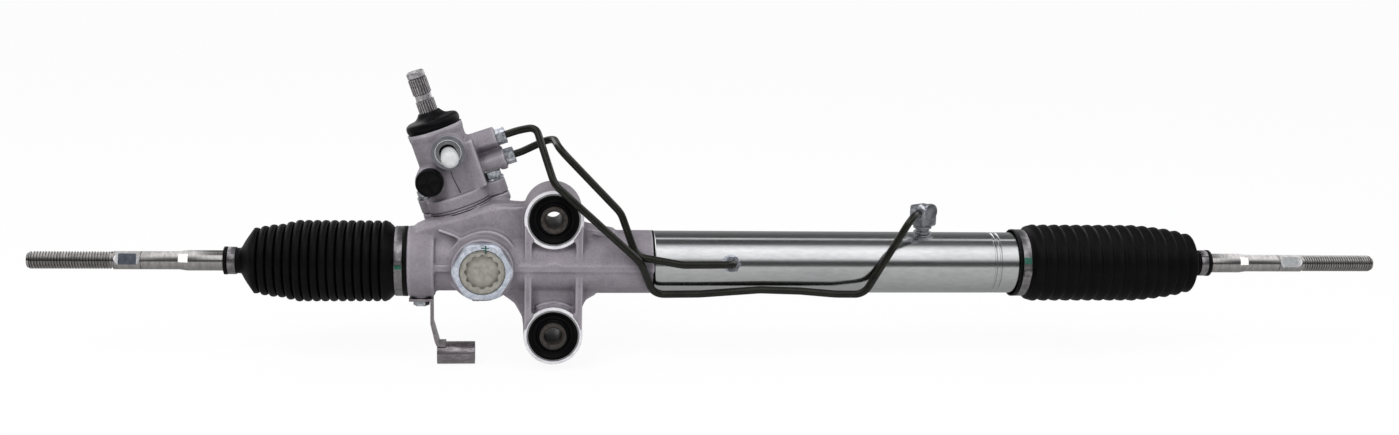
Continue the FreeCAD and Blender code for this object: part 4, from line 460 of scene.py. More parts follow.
def raised(shape: bmesh.types.BMesh, corners: Iterable[Sequence[float]],
           height: float) -> list[bmesh.types.BMVert]:
    """Draws a face, raises it along the z axis and returns the corners of its top."""
    foot = shape.faces.new([shape.verts.new(corner) for corner in corners])
    made = bmesh.ops.extrude_face_region(shape, geom=[foot])["geom"]
    top = [item for item in made if isinstance(item, bmesh.types.BMVert)]
    bmesh.ops.translate(shape, vec=(0.0, 0.0, height), verts=top)
    return top


class Form:
    """A mesh in the making. Every shape is drawn in millimetres of a local frame."""

    def __init__(self, start: bpy.types.Object | None = None) -> None:
        """Starts from a merged copy of a drawn solid, or from nothing."""
        self.mesh = bmesh.new()
        if start:
            self.mesh.from_mesh(start.data)
            bmesh.ops.remove_doubles(self.mesh, verts=self.mesh.verts[:], dist=1e-6)

    def take(self, shape: bmesh.types.BMesh, place: Matrix, soft: float = 0.0,
             sharp: float = 28.0) -> "Form":
        """Softens a drawn shape, moves it to its place and joins it to the mesh.

        Args:
            shape: The shape in its local frame; it is used up.
            place: Local frame in metres of the part.
            soft: Width of the rounding on its edges, in millimetres.
            sharp: Smallest angle between faces that counts as an edge, in degrees.

        Returns:
            This form.
        """
        bmesh.ops.recalc_face_normals(shape, faces=shape.faces[:])
        if soft:
            edges = [edge for edge in shape.edges if len(edge.link_faces) == 2
                     and edge.calc_face_angle(0.0) > math.radians(sharp)]
            bmesh.ops.bevel(shape, geom=edges, offset=soft, offset_type="OFFSET", segments=2,
                            profile=0.5, affect="EDGES", clamp_overlap=True, material=-1)
        bmesh.ops.transform(shape, matrix=place, verts=shape.verts[:])
        between = bpy.data.meshes.new("between")
        shape.to_mesh(between)
        shape.free()
        self.mesh.from_mesh(between)
        bpy.data.meshes.remove(between)
        return self

    def turn(self, outline: Outline, place: Matrix, soft: float = 0.0, steps: int = 72,
             ring: bool = False, sharp: float = 28.0) -> "Form":
        """Turns an outline about the local z axis, as on a lathe.

        Args:
            outline: Pairs of radius and station.
            place: Local frame.
            soft: Width of the rounding on its edges.
            steps: Facets round the axis.
            ring: Whether the outline closes on itself round a hole.
            sharp: Smallest angle that is rounded.

        Returns:
            This form.
        """
        return self.take(lathe(profile(outline, ring), steps), place, soft, sharp)

    def band(self, radii: tuple[float, float], span: tuple[float, float], place: Matrix,
             soft: float = 0.0, steps: int = ROUND_TURN) -> "Form":
        """Adds a plain ring between two radii and two stations."""
        (inner, outer), (low, high) = radii, span
        return self.turn([(inner, low), (outer, low), (outer, high), (inner, high)], place, soft,
                         steps, ring=True)

    def box(self, low: Sequence[float], high: Sequence[float], place: Matrix,
            soft: float = 0.0) -> "Form":
        """Adds a block between two corners."""
        shape = bmesh.new()
        size = Vector(high) - Vector(low)
        middle = (Vector(high) + Vector(low)) / 2.0
        bmesh.ops.create_cube(shape, size=1.0, matrix=(
            moved(*middle) @ Matrix.Diagonal((*size, 1.0))))
        return self.take(shape, place, soft)

    def prism(self, corners: Outline, low: float, high: float, place: Matrix,
              soft: float = 0.0) -> "Form":
        """Raises a flat outline along the local z axis, from low to high."""
        shape = bmesh.new()
        raised(shape, [(x, y, low) for x, y in corners], high - low)
        return self.take(shape, place, soft)

    def toothed(self, teeth: int, radii: tuple[float, float], span: tuple[float, float],
                place: Matrix, chamfer: float) -> "Form":
        """Adds a bar with straight teeth along it, such as a spline or a knurl.

        Args:
            teeth: How many teeth stand round it.
            radii: Radius between the teeth and over them.
            span: Start and end along the local z axis.
            place: Local frame.
            chamfer: How far both ends taper down to the root.

        Returns:
            This form.
        """
        (root, tip), (low, high) = radii, span
        shape = bmesh.new()
        made = bmesh.ops.create_circle(shape, cap_ends=True, segments=teeth * 4, radius=tip)
        inner = [vert for index, vert in enumerate(made["verts"]) if index % 4 in (2, 3)]
        bmesh.ops.scale(shape, vec=(root / tip, root / tip, 1.0), verts=inner)
        bmesh.ops.translate(shape, vec=(0.0, 0.0, low), verts=shape.verts[:])
        level = shape.faces[:]
        ends = [level[0].verts[:]]
        for height in (chamfer, high - low - 2.0 * chamfer, chamfer):
            made = bmesh.ops.extrude_face_region(shape, geom=level)["geom"]
            level = [item for item in made if isinstance(item, bmesh.types.BMFace)]
            bmesh.ops.translate(shape, vec=(0.0, 0.0, height), verts=level[0].verts[:])
        ends.append(level[0].verts[:])
        inset = (root / tip) * 0.995
        for verts in ends:
            bmesh.ops.scale(shape, vec=(inset, inset, 1.0), verts=verts)
        return self.take(shape, place)

    def ridge(self, path: Outline, width: float, face: float, foot: float,
              place: Matrix, draft: float = 0.7) -> "Form":
        """Adds a cast ridge along a path on the front of a part.

        Args:
            path: Points in the local x and y.
            width: Width at its foot.
            face: Height of its crest along the local z axis.
            foot: Height of its foot.
            place: Local frame.
            draft: Width of the crest against the foot.

        Returns:
            This form.
        """
        side = width / 2.0
        for (x0, y0), (x1, y1) in zip(path, path[1:]):
            run = Vector((x1 - x0, y1 - y0, 0.0))
            way = turned(math.degrees(math.atan2(run.y, run.x)), "Z")
            half = run.length / 2.0 + width * 0.35
            shape = bmesh.new()
            top = raised(shape, ((-half, -side, foot), (half, -side, foot), (half, side, foot),
                                 (-half, side, foot)), face - foot)
            bmesh.ops.scale(shape, vec=(1.0, draft, 1.0), verts=top)
            self.take(shape, place @ moved((x0 + x1) / 2.0, (y0 + y1) / 2.0) @ way)
        return self

    def dent(self, start: Sequence[float], end: Sequence[float], width: float, depth: float,
             place: Matrix) -> "Form":
        """Presses a soft groove into the skin, towards the rear, along a line.

        Args:
            start: One end of the line in the local frame.
            end: Its other end.
            width: Distance from the line where the groove runs out.
            depth: Depth along the line itself.
            place: Local frame.

        Returns:
            This form.
        """
        foot, tip = place @ Vector(start), place @ Vector(end)
        run = tip - foot
        for vert in self.mesh.verts:
            along = min(max((vert.co - foot).dot(run) / run.length_squared, 0.0), 1.0)
            share = (vert.co - foot - run * along).length / (width * MM)
            if share < 1.0:
                vert.co.y += depth * MM * (1.0 - share ** 2) ** 2
        return self

    def recast(self, voxel_mm: float, rounds: int) -> "Form":
        """Fuses everything into one skin with the soft inner corners of a casting.

        Args:
            voxel_mm: Size of the cells that the skin is made from.
            rounds: How often the skin is smoothed.

        Returns:
            This form.
        """
        raw = bpy.data.meshes.new("raw")
        self.mesh.to_mesh(raw)
        holder = bpy.data.objects.new("holder", raw)
        bpy.context.scene.collection.objects.link(holder)
        cells = holder.modifiers.new("cells", "REMESH")
        cells.mode = "VOXEL"
        cells.voxel_size = voxel_mm * MM
        worn = holder.modifiers.new("worn", "SMOOTH")
        worn.factor = 0.5
        worn.iterations = rounds
        seen = holder.evaluated_get(bpy.context.evaluated_depsgraph_get())
        skin = bpy.data.meshes.new_from_object(seen)
        self.mesh.clear()
        self.mesh.from_mesh(skin)
        bpy.data.objects.remove(holder)
        bpy.data.meshes.remove(raw)
        bpy.data.meshes.remove(skin)
        return self

    def finish(self, name: str, surface: Surface, stands_for: Iterable[str] = (),
               body: str = "housing", slot: str = "", smooth: float = 35.0, ride: bool = True,
               more: Sequence[Surface] = ()) -> bpy.types.Object:
        """Turns the mesh into a named piece with its finish.

        Args:
            name: Name of the piece.
            surface: Its finish.
            stands_for: Drawn solids that it replaces.
            body: Moving body that carries it.
            slot: Material slot of the record, where it isn't the one of the finish.
            smooth: Largest angle that is shaded smooth, in degrees.
            ride: Whether it rides on its body; the lengths of the boots don't.
            more: Further finishes, for faces numbered from 1.

        Returns:
            The new object.
        """
        data = bpy.data.meshes.new(name)
        self.mesh.to_mesh(data)
        self.mesh.free()
        data.shade_smooth()
        data.set_sharp_from_angle(angle=math.radians(smooth))
        for each in (surface, *more):
            data.materials.append(PAINTS.get(each))
        piece = bpy.data.objects.new(name, data)
        bpy.context.scene.collection.objects.link(piece)
        if ride:
            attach(piece, body)
        if stands_for:
            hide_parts(*stands_for)
        LOG.info("%s: %d faces", name, len(data.polygons))
        return piece


@dataclass
class RackCasting:
    """Sand-cast body round the rack: barrel, guide boss, two mounts and their webs."""

    voxel_mm: float = 1.4
    rounds: int = 5
    ridge_width: float = 3.8
    mount_heights: tuple[float, float] = (45.0, -65.0)
    boss_radii: tuple[float, float] = (24.55, 27.3)
    boss_face: float = 28.0

    def body(self, frame: dict[str, Any]) -> None:
        """Adds the small cast ridges to the drawn body and fuses them with soft corners."""
        face = front(0.0, 0.0)
        width = self.ridge_width
        form = Form(frame["nodes"]["rack_housing"])
        form.ridge([(-104.0, 33.2), (-94.6, 29.9), (-83.4, 25.0)], width, 22.0, 0.0, face)
        form.ridge(arc((-62.0, 4.8), 27.8, 137.0, 5.0), width, 24.5, 0.0, face)
        form.ridge([(-34.6, 14.0), (-27.5, 10.9)], width, 25.5, 12.0, face)
        form.ridge(arc((0.0, -65.0), 30.6, 121.0, 54.0), 3.0, 22.5, 5.0, face)
        form.ridge([(-5.8, 3.6), (1.0, 5.4), (7.1, 3.0)], 2.4, 31.2, 24.0, face)
        form.ridge([(37.8, -1.8), (38.6, -5.7), (41.7, -7.3), (47.0, -2.6)], 2.0, 30.0, 24.0, face)
        form.ridge([(27.0, 34.0), (41.0, 30.6), (54.0, 28.6)], 7.0, 17.0, -8.0, face)
        form.prism([(-107.4, 20.0), (-84.0, 20.0), (-84.0, 25.4), (-94.0, 30.2), (-107.4, 33.5)],
                   -6.0, 16.6, face)
        form.box((-23.0, -39.3, -8.0), (23.0, 19.3, 15.0), face)
        for side in (-1.0, 1.0):
            for foot, rise, depth in ((19.0, 1.0, 22.0), (-39.0, -1.0, 20.0)):
                corners = ((13.0, 0.0), (21.0, 0.0), (21.0, 10.0), (16.0, 6.0), (13.0, 3.5))
                form.prism([(side * x, foot + rise * z) for x, z in corners], -8.0, depth, face)
        crest = [(-127.0, 34.4), (-119.0, 38.2), (-103.9, 41.8), (-72.4, 51.6), (-56.0, 56.6),
                 (-44.0, 57.2), (-26.8, 55.8)]
        under = [(-26.8, 44.0), (-60.0, 36.0), (-83.0, 30.5), (-107.0, 31.5), (-107.0, 24.0),
                 (-127.0, 24.0)]
        for drop, depth in ((4.2, 17.0), (2.0, 15.6), (0.0, 13.0)):
            form.prism([(x, z - drop) for x, z in crest] + under, -8.0, depth, face)
        form.recast(self.voxel_mm, self.rounds)
        form.finish("rack_casting", Surface.CASTING, ["rack_housing"], smooth=50.0)

    def trim(self) -> None:
        """Machined rings on the mount bosses; under the valve flange, the dark gasket seam and a
        line of painted shade at the step below it.
        """
        form = Form()
        for height in self.mount_heights:
            for way in (1.0, -1.0):
                form.band(self.boss_radii, (way * (self.boss_face - 0.6),
                                            way * (self.boss_face + 0.12)),
                          front(0.0, height), soft=0.15)
        form.finish("mount_cut_faces", Surface.MACHINED)
        form = Form()
        # the upper band is the gasket seam, the lower one painted shade under the step of the
        # flange
        for span in ((55.6, 56.1), (50.9, 51.8)):
            form.band((27.0, 30.3), span, TOWER)
        form.finish("flange_seam_and_step_shade", Surface.GASKET)

    def build(self, frame: dict[str, Any]) -> None:
        """Builds the casting and its trim."""
        self.body(frame)
        self.trim()


@dataclass
class ValveCasting:
    """Sand-cast valve tower with its split line, cut top and pressure port."""

    voxel_mm: float = 1.15
    rounds: int = 8
    radius: float = 25.0
    top: float = 130.0
    lip: float = 4.4
    port: tuple[float, float] = (7.0, 108.0)

    def body(self, frame: dict[str, Any]) -> None:
        """Fuses the drawn tower, with a valley between the bosses of the pipes."""
        form = Form(frame["nodes"]["valve_housing"])
        form.recast(self.voxel_mm, self.rounds)
        form.dent((27.0, -8.0, 94.2), (52.0, -6.0, 94.2), 9.0, 5.0, TOWER)
        form.dent((25.0, -10.0, 93.0), (33.0, -10.0, 94.0), 7.0, 3.0, TOWER)
        form.finish("valve_casting", Surface.CASTING, ["valve_housing"], smooth=50.0)

    def trim(self) -> None:
        """Turned band under the dust cover, and the core print's seam down the front."""
        inner, low = self.radius - 4.0, self.top - self.lip
        form = Form().turn([(inner, low), (self.radius + 0.62, low),
                            (self.radius + 0.72, self.top - 0.2), (inner, self.top)],
                           TOWER, soft=0.2, steps=ROUND_TURN, ring=True)
        form.finish("valve_cut_lip", Surface.CASTING)
        form = Form()
        for path in ([(3.2, 91.0), (3.0, 85.0)], [(3.0, 85.0), (5.2, 68.0)]):
            form.ridge(path, 0.7, 24.95, 21.0, TOWER @ FACING, draft=0.8)
        form.finish("valve_front_seam", Surface.GASKET, slot="cast_aluminium")

    def seat(self) -> None:
        """Pressure port: spot-faced ring, bright chamfer, and a dark ring at its bottom that is
        painted shade in the bore.
        """
        place = tower_front(*self.port)
        form = Form().band((11.9, 15.5), (30.6, 31.66), place, soft=0.15)
        form.finish("pressure_port_face", Surface.PORT_FACE)
        form = Form().turn([(11.95, 29.0), (11.95, 31.8), (11.5, 31.8), (10.9, 30.2),
                            (10.9, 29.0)], place, steps=ROUND_TURN, ring=True)
        form.finish("pressure_seat_chamfer", Surface.MACHINED)
        form = Form().band((5.6, 10.95), (28.4, 29.3), place, steps=72)
        form.finish("pressure_seat_shade_ring", Surface.GAP)

    def build(self, frame: dict[str, Any]) -> None:
        """Builds the tower, its trim and its port."""
        self.body(frame)
        self.trim()
        self.seat()


@dataclass
class CylinderTube:
    """Polished steel tube of the power cylinder, crimped at its far end."""

    start: float = 93.5
    end: float = 463.5
    radius: float = 29.4
    wall: float = 3.9
    crimp: float = 424.0
    crimp_depth: float = 1.1

    def build(self) -> None:
        """Turns the tube with its two crimp lines, and a black ring at its foot, painted shade in
        the gap against the casting.
        """
        bore, deep = self.radius - self.wall, self.radius - self.crimp_depth
        start, end, crimp = self.start, self.end, self.crimp
        outline = [(bore, start), (self.radius - 0.5, start)]
        outline += [(self.radius, x) for x in (start + 0.6, start + 2.0, crimp - 6.0)]
        for line in (crimp - 4.2, crimp + 0.6):
            outline += [(self.radius, line), (deep, line + 0.8), (deep, line + 1.8),
                        (self.radius, line + 2.6)]
        outline += [(self.radius, x) for x in (crimp + 5.0, end - 2.0, end - 0.6)]
        outline += [(self.radius - 0.5, end), (bore, end)]
        form = Form().band((27.0, self.radius + 0.3), (start - 1.2, start + 0.2), ALONG, steps=120)
        form.finish("tube_foot_gap_shade", Surface.GAP)
        form = Form().turn(outline, ALONG, steps=160, ring=True)
        form.finish("power_cylinder_tube", Surface.TUBE, ["cylinder_tube"], smooth=40.0)


@dataclass
class MountBush:
    """Rubber bush in a mount: pressed shell, bonded rubber and a cored sleeve."""

    name: str
    height: float
    rubber_radius: float = 23.1
    core_radius: float = 12.5
    bore_radius: float = 8.2
    rubber_face: float = 26.8
    core_face: float = 31.0

    def rubber(self) -> None:
        """Rubber with a rolled lip at both edges and a shallow channel between."""
        core, rim = self.core_radius, self.rubber_radius
        side = ((core, 0.9), (core + 0.9, 0.2), (core + 2.2, 0.4), (core + 3.6, 3.0),
                (core + 5.8, 3.3), (rim - 1.8, 1.6), (rim, 1.3))
        outline = [(radius, self.rubber_face - sunk) for radius, sunk in side]
        outline += [(radius, sunk - self.rubber_face) for radius, sunk in reversed(side)]
        form = Form().turn(outline, front(0.0, self.height), soft=0.6, steps=ROUND_TURN,
                           ring=True, sharp=12.0)
        form.finish(f"{self.name}_bush_moulding", Surface.RUBBER, [f"{self.name}_bush_rubber"])

    def core(self) -> None:
        """Steel sleeve with chamfered mouths."""
        bore, rim, end = self.bore_radius, self.core_radius, self.core_face
        half = [(bore, end - 1.4), (bore + 1.4, end), (rim - 0.5, end), (rim, end - 0.5)]
        outline = [(radius, -z) for radius, z in half] + half[::-1]
        form = Form().turn(outline, front(0.0, self.height), soft=0.25, steps=ROUND_TURN,
                           ring=True)
        form.finish(f"{self.name}_bush_core", Surface.BUSH_CORE, [f"{self.name}_bush_sleeve"])

    def build(self) -> None:
        """Builds the rubber and the sleeve; the drawn shell stays."""
        self.rubber()
        self.core()


@dataclass
class GuideAdjuster:
    """Adjusting cap of the rack guide, with its lobed key recess."""

    x: float = -65.0
    radius: float = 21.0
    recess_radius: float = 15.4
    lobes: int = 12
    lobe: float = 0.9
    foot: float = 27.0
    face: float = 45.5
    depth: float = 4.5

    def cap(self) -> None:
        """Cap with a wavy-edged recess for its key."""
        shape = bmesh.new()
        rim, recess = (bmesh.ops.create_circle(shape, cap_ends=False, segments=self.lobes * 8,
                                               radius=radius)["verts"]
                       for radius in (self.radius, self.recess_radius))
        for index, vert in enumerate(recess):
            grow = 1.0 + self.lobe / self.recess_radius * math.cos(math.tau * index / 8.0)
            bmesh.ops.scale(shape, vec=(grow, grow, 1.0), verts=[vert])
        rings = [[edge for edge in shape.edges if edge.verts[0] in group]
                 for group in (set(rim), set(recess))]
        bmesh.ops.bridge_loops(shape, edges=rings[0] + rings[1])
        for ring, drop in zip(rings, (self.face - self.foot, self.depth)):
            made = bmesh.ops.extrude_edge_only(shape, edges=ring)["geom"]
            verts = [item for item in made if isinstance(item, bmesh.types.BMVert)]
            bmesh.ops.translate(shape, vec=(0.0, 0.0, -drop), verts=verts)
            edges = [item for item in made if isinstance(item, bmesh.types.BMEdge)]
            bmesh.ops.holes_fill(shape, edges=edges, sides=0)
        bmesh.ops.translate(shape, vec=(0.0, 0.0, self.face), verts=shape.verts[:])
        form = Form().take(shape, front(self.x, 0.0), soft=0.35)
        form.finish("guide_adjusting_cap", Surface.CAP, ["guide_cap"])

    def build(self) -> None:
        """Builds the cap, a black ring of painted shade in the thread gap round it, and the paint
        stroke over its nut.
        """
        self.cap()
        place = front(self.x, 0.0)
        form = Form().band((self.radius + 0.1, self.radius + 1.0), (40.0, 45.9), place)
        form.finish("guide_thread_gap_shade", Surface.GAP)
        form = Form().box((2.4, 17.5, 46.9), (3.7, 25.0, 47.06), place)
        form.box((-1.0, 22.0, 46.9), (6.0, 22.9, 47.06), place)
        form.finish("guide_paint_stroke", Surface.GREEN_PAINT)


@dataclass
class ValveTop:
    """Dust cover on the valve and the splined input shaft through it."""

    cover_foot: float = 130.0
    cover_radius: float = 25.2
    neck_radius: float = 10.2
    shaft_radius: float = 8.65
    groove_radius: float = 7.5
    groove: tuple[float, float] = (157.7, 162.7)
    spline_foot: float = 141.0
    land: float = 178.7
    tip: float = 185.2
    teeth: int = 22

    def cover(self) -> None:
        """Bell-shaped rubber cover with a fat rolled rim."""
        rim, neck, hole = self.cover_radius, self.neck_radius, self.shaft_radius + 0.3
        outline = [(rim - 5.0, 0.0), (rim - 2.2, 0.0), (rim - 0.9, 0.7), (rim - 0.2, 2.2),
                   (rim, 4.2), (rim - 0.3, 6.2), (rim - 1.2, 8.0), (rim - 2.8, 9.0),
                   (rim - 4.8, 9.4), (rim - 8.0, 10.0), (rim - 11.0, 11.2), (neck + 2.0, 13.0),
                   (neck + 0.7, 14.6), (neck, 15.8), (neck - 0.7, 16.0), (hole, 15.4), (hole, 4.0)]
        form = Form().turn(outline, TOWER @ moved(z=self.cover_foot), steps=120, ring=True)
        form.finish("valve_dust_cover", Surface.RUBBER, ["dust_cover"], smooth=75.0)

    def shaft(self) -> None:
        """Input shaft with two runs of spline, a clamp groove and a plain tip."""
        radius, waist, land, tip = self.shaft_radius, self.groove_radius, self.land, self.tip
        low, high = self.groove
        form = Form()
        form.turn([(0.0, 53.0), (10.9, 53.0), (10.9, 128.0), (radius - 1.0, 130.0),
                   (radius - 1.0, self.spline_foot), (0.0, self.spline_foot)], TOWER)
        form.toothed(self.teeth, (radius - 1.4, radius), (self.spline_foot, low), TOWER, 0.7)
        form.turn([(0.0, low - 0.3), (waist, low), (waist, high), (0.0, high + 0.3)], TOWER)
        form.toothed(self.teeth, (radius - 1.4, radius), (high, land), TOWER, 0.7)
        form.turn([(0.0, land), (radius - 0.7, land), (radius - 0.35, land + 1.0),
                   (radius - 0.35, tip - 1.4), (radius - 1.7, tip), (3.0, tip), (2.2, tip - 1.6),
                   (0.0, tip - 2.4)], TOWER, soft=0.25)
        form.finish("splined_input_shaft", Surface.SHAFT, ["input_shaft"], "input", smooth=30.0)

    def build(self) -> None:
        """Builds the cover and the shaft."""
        self.cover()
        self.shaft()


@dataclass
class PortFittings:
    """Shipping plugs in the pressure and return ports."""

    pressure: tuple[float, float] = (7.0, 108.0)
    retour: tuple[float, float] = (-18.0, 87.0)
    plug_radius: float = 8.0
    plug_reach: tuple[float, float] = (27.0, 51.5)
    plug_seat: float = 30.0
    plug_lean: tuple[float, float] = (7.0, 3.5)
    plug_drop: float = 2.3
    cap_radius: float = 12.8
    cap_face: float = 34.7
    cap_depth: float = 10.0

    def plug(self) -> None:
        """Milky plug: a rounded thimble that leans in its seat."""
        (low, high), radius = self.plug_reach, self.plug_radius
        outline = [(0.0, low), (radius - 0.6, low), (radius - 0.3, low + 10.0),
                   (radius, high - 12.0), (radius, high - 4.5), (radius - 0.7, high - 2.2),
                   (radius - 2.4, high - 0.6), (radius - 4.4, high), (0.0, high)]
        down, side = self.plug_lean
        lean = (moved(0.0, -self.plug_drop, self.plug_seat) @ turned(down, "X")
                @ turned(side, "Y") @ moved(z=-self.plug_seat))
        form = Form().turn(outline, tower_front(*self.pressure) @ lean, soft=0.7, sharp=12.0)
        form.finish("pressure_thimble_plug", Surface.WHITE_PLASTIC, ["pressure_port_plug"],
                    "pressure_plug", smooth=60.0)

    def cap(self) -> None:
        """Black cap with a cross-shaped recess between four raised quarters."""
        place = tower_front(*self.retour)
        radius, face = self.cap_radius, self.cap_face
        low = face - self.cap_depth
        form = Form().turn([(0.0, low - 8.0), (8.0, low - 8.0), (8.0, low), (radius, low),
                            (radius, face - 1.4), (radius - 1.2, face - 0.3),
                            (radius - 1.9, face - 0.3), (radius - 1.9, face - 1.2),
                            (0.0, face - 1.2)], place, soft=0.25)
        quarter = [(1.3, 1.3)] + arc((0.0, 0.0), radius - 2.4, 9.0, 81.0, 8)
        for turn in range(4):
            form.prism(quarter, face - 1.6, face - 0.1, place @ turned(90.0 * turn, "Z"), soft=0.3)
        form.finish("return_cross_cap", Surface.BLACK_PLASTIC, ["return_port_cap"], "return_cap")

    def build(self) -> None:
        """Builds both."""
        self.plug()
        self.cap()


@dataclass
class PipeFittings:
    """Left port fitting on the tube and the union block near its right end."""

    port_x: float = 164.5
    port_rise: float = 10.0
    union_x: float = 354.0
    union_turn: float = 30.0
    union_span: tuple[float, float] = (36.4, 56.4)
    union_half: float = 9.6

    def build(self) -> None:
        """Builds the knurled boss of the flare nut, and the square block on its neck."""
        place = RACK @ moved(self.port_x) @ turned(90.0 - self.port_rise, "X")
        form = Form().toothed(20, (7.9, 8.45), (28.0, 34.4), place, 0.6)
        form.turn([(5.0, 30.0), (7.2, 30.0), (7.2, 35.8), (6.4, 36.0), (5.0, 36.0)], place,
                  steps=64, ring=True)
        form.finish("left_port_knurled_boss", Surface.ZINC, ["left_port_boss"], smooth=30.0)
        place = RACK @ moved(self.union_x) @ turned(self.union_turn, "Z")
        (low, high), half = self.union_span, self.union_half
        form = Form().box((-half, -half, low), (half, half, high), place, soft=2.4)
        form.turn([(0.0, 28.7), (8.4, 28.7), (8.4, 31.0), (6.6, 31.6), (6.6, 33.6), (8.8, 34.2),
                   (8.8, 36.6), (0.0, 36.6)], place, soft=0.35, steps=64)
        form.turn([(0.0, 8.0), (8.2, 8.0), (8.2, 10.6), (7.0, 11.0), (0.0, 11.0)],
                  place @ moved(z=51.0) @ FACING, soft=0.3, steps=64)
        form.finish("right_union_block", Surface.BLOCK, ["right_port_union"])


@dataclass
class BandClamp:
    """Thin metal band round a boot end, with a crimped ear and a dab of paint."""

    name: str
    body: str
    span: tuple[float, float]
    radius: float
    thickness: float
    ear_angle: float
    paint_angles: tuple[float, float] | None = None
    ear_height: float = 1.8

    def build(self, stands_for: str) -> None:
        """Builds the band with its crimped ear, and its paint."""
        low, high = self.span
        outer = self.radius + self.thickness
        crest = outer + self.ear_height
        place = ALONG @ turned(self.ear_angle, "Z")
        near, far = low + 0.3, high - 0.3
        form = Form().band((self.radius, outer), self.span, ALONG, soft=0.22, steps=120)
        for side in (-2.6, 2.6):
            form.box((outer - 0.6, side - 0.7, near), (crest, side + 0.7, far), place, soft=0.4)
        form.box((crest - 0.9, -3.2, near), (crest, 3.2, far), place, soft=0.4)
        form.finish(f"{self.name}_strip", Surface.BAND, [stands_for], self.body)
        if self.paint_angles:
            form = Form().take(dab([(outer + 0.02, low + 0.4), (outer + 0.14, low + 0.5),
                                    (outer + 0.14, high - 0.5), (outer + 0.02, high - 0.4)],
                                   self.paint_angles, 8), ALONG)
            form.finish(f"{self.name}_paint", Surface.GREEN_PAINT, body=self.body,
                        slot="stainless_band")


class FoldShape(Enum):
    """Section of a bellows fold, as (share of the pitch, share of the depth) from its valley."""

    ROUND = ((-0.49, 0.0), (-0.47, 0.42), (-0.42, 0.7), (-0.32, 0.88), (-0.17, 0.97), (0.0, 1.0),
             (0.17, 0.97), (0.32, 0.88), (0.42, 0.7), (0.47, 0.42), (0.49, 0.0))
    CONICAL = ((-0.47, 0.0), (-0.4, 0.14), (-0.1, 0.8), (0.12, 0.97), (0.19, 1.0),
               (0.25, 0.95), (0.3, 0.74), (0.42, 0.1), (0.47, 0.0))


@dataclass
class Boot:
    """Rubber bellows from the housing to a tie rod, drawn as (radius, x)."""

    side: str
    way: float
    first_peak: float
    pitch: float
    folds: int
    full: float
    depth: float
    taper: tuple[float, ...]
    shape: FoldShape
    collar: Outline
    neck: Outline
    cuts: tuple[float, float, float]
    wall: float = 1.4
    bore: float = 9.9

    def line(self) -> list[tuple[float, float]]:
        """Outer line of the whole boot, from the collar to the lip of the neck."""
        step = self.pitch * self.way
        last = self.folds - 1
        radii = [self.full] * (self.folds - len(self.taper))
        radii += [self.full - drop for drop in self.taper]
        points = list(self.collar)
        for index, peak in enumerate(radii):
            for place, lift in self.shape.value:
                if (index == 0 and place < 0.0) or (index == last and place > 0.2):
                    continue
                beside = max(index - 1, 0) if place < 0.0 else min(index + 1, last)
                valley = min(radii[beside], peak) - self.depth
                points.append((valley + (peak - valley) * lift,
                               self.first_peak + step * index + step * place))
        return points + list(self.neck)

    def skin(self, name: str, span: tuple[float, float], body: str, ride: bool,
             stands_for: Sequence[str] = ()) -> bpy.types.Object:
        """Cuts one length out of the whole boot and gives it its wall.

        Args:
            name: Name of the length.
            span: Its two ends along x.
            body: Body that carries it.
            ride: Whether it rides now.
            stands_for: Drawn solids that it replaces.

        Returns:
            The new object.
        """
        outer = self.line()
        inner = [(max(radius - self.wall, self.bore), x) for radius, x in outer]
        shape = profile(outer + inner[::-1], closed=True)
        longer = [edge for edge in shape.edges if edge.calc_length() > 3.5]
        bmesh.ops.subdivide_edges(shape, edges=longer, cuts=1)
        for station, way in ((min(span), -1.0), (max(span), 1.0)):
            bmesh.ops.bisect_plane(shape, geom=shape.verts[:] + shape.edges[:], dist=1e-4,
                                   plane_co=(0.0, 0.0, station), plane_no=(0.0, 0.0, way),
                                   clear_outer=True)
        form = Form().take(lathe(shape, 72), ALONG)
        return form.finish(f"{self.side}_boot_{name}", Surface.BOOT, stands_for, body,
                           smooth=89.0, ride=ride)

    def bend(self, name: str, span: tuple[float, float], pair: tuple[str, str],
             stands_for: Sequence[str] = ()) -> None:
        """Makes one length, left where it is made and tied to no body.

        Args:
            name: Name of the length.
            span: Its two ends along x.
            pair: Bodies at either end; only the first is handed on, and the length rides on
                neither.
            stands_for: Drawn solids that it replaces.
        """
        piece = self.skin(name, span, pair[0], False, stands_for)
        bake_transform(piece)

    def stretch(self) -> None:
        """Makes the folds in lengths, each cut in a valley; they stay put as the rack slides.
        """
        step = self.pitch * self.way
        stations = [self.first_peak - step * 0.4]
        index = 0.5
        while (self.cuts[0] - self.first_peak - step * (index + 0.9)) * self.way > 0.0:
            stations.append(self.first_peak + step * index)
            index += 2.0
        stations.append(self.cuts[0])
        lengths = [abs(b - a) for a, b in zip(stations, stations[1:])]
        lengths[0] *= 0.5
        lengths[-1] *= 0.5
        for number, (a, b) in enumerate(zip(stations, stations[1:])):
            first = number == 0
            self.bend(f"folds_{number + 1}", (self.collar[0][1] if first else a, b),
                      ("housing", "rack"),
                      [f"{self.side}_boot"] if first else [])

    def build(self) -> None:
        """Builds the bellows in lengths, and the neck on the rod."""
        first, second, third = self.cuts
        seat, rod = f"{self.side}_seat", f"{self.side}_rod"
        self.stretch()
        self.bend("cone", (first, second), ("rack", seat))
        self.bend("throat", (second, third), (seat, rod))
        self.skin("neck", (third, self.neck[-1][1]), rod, True)


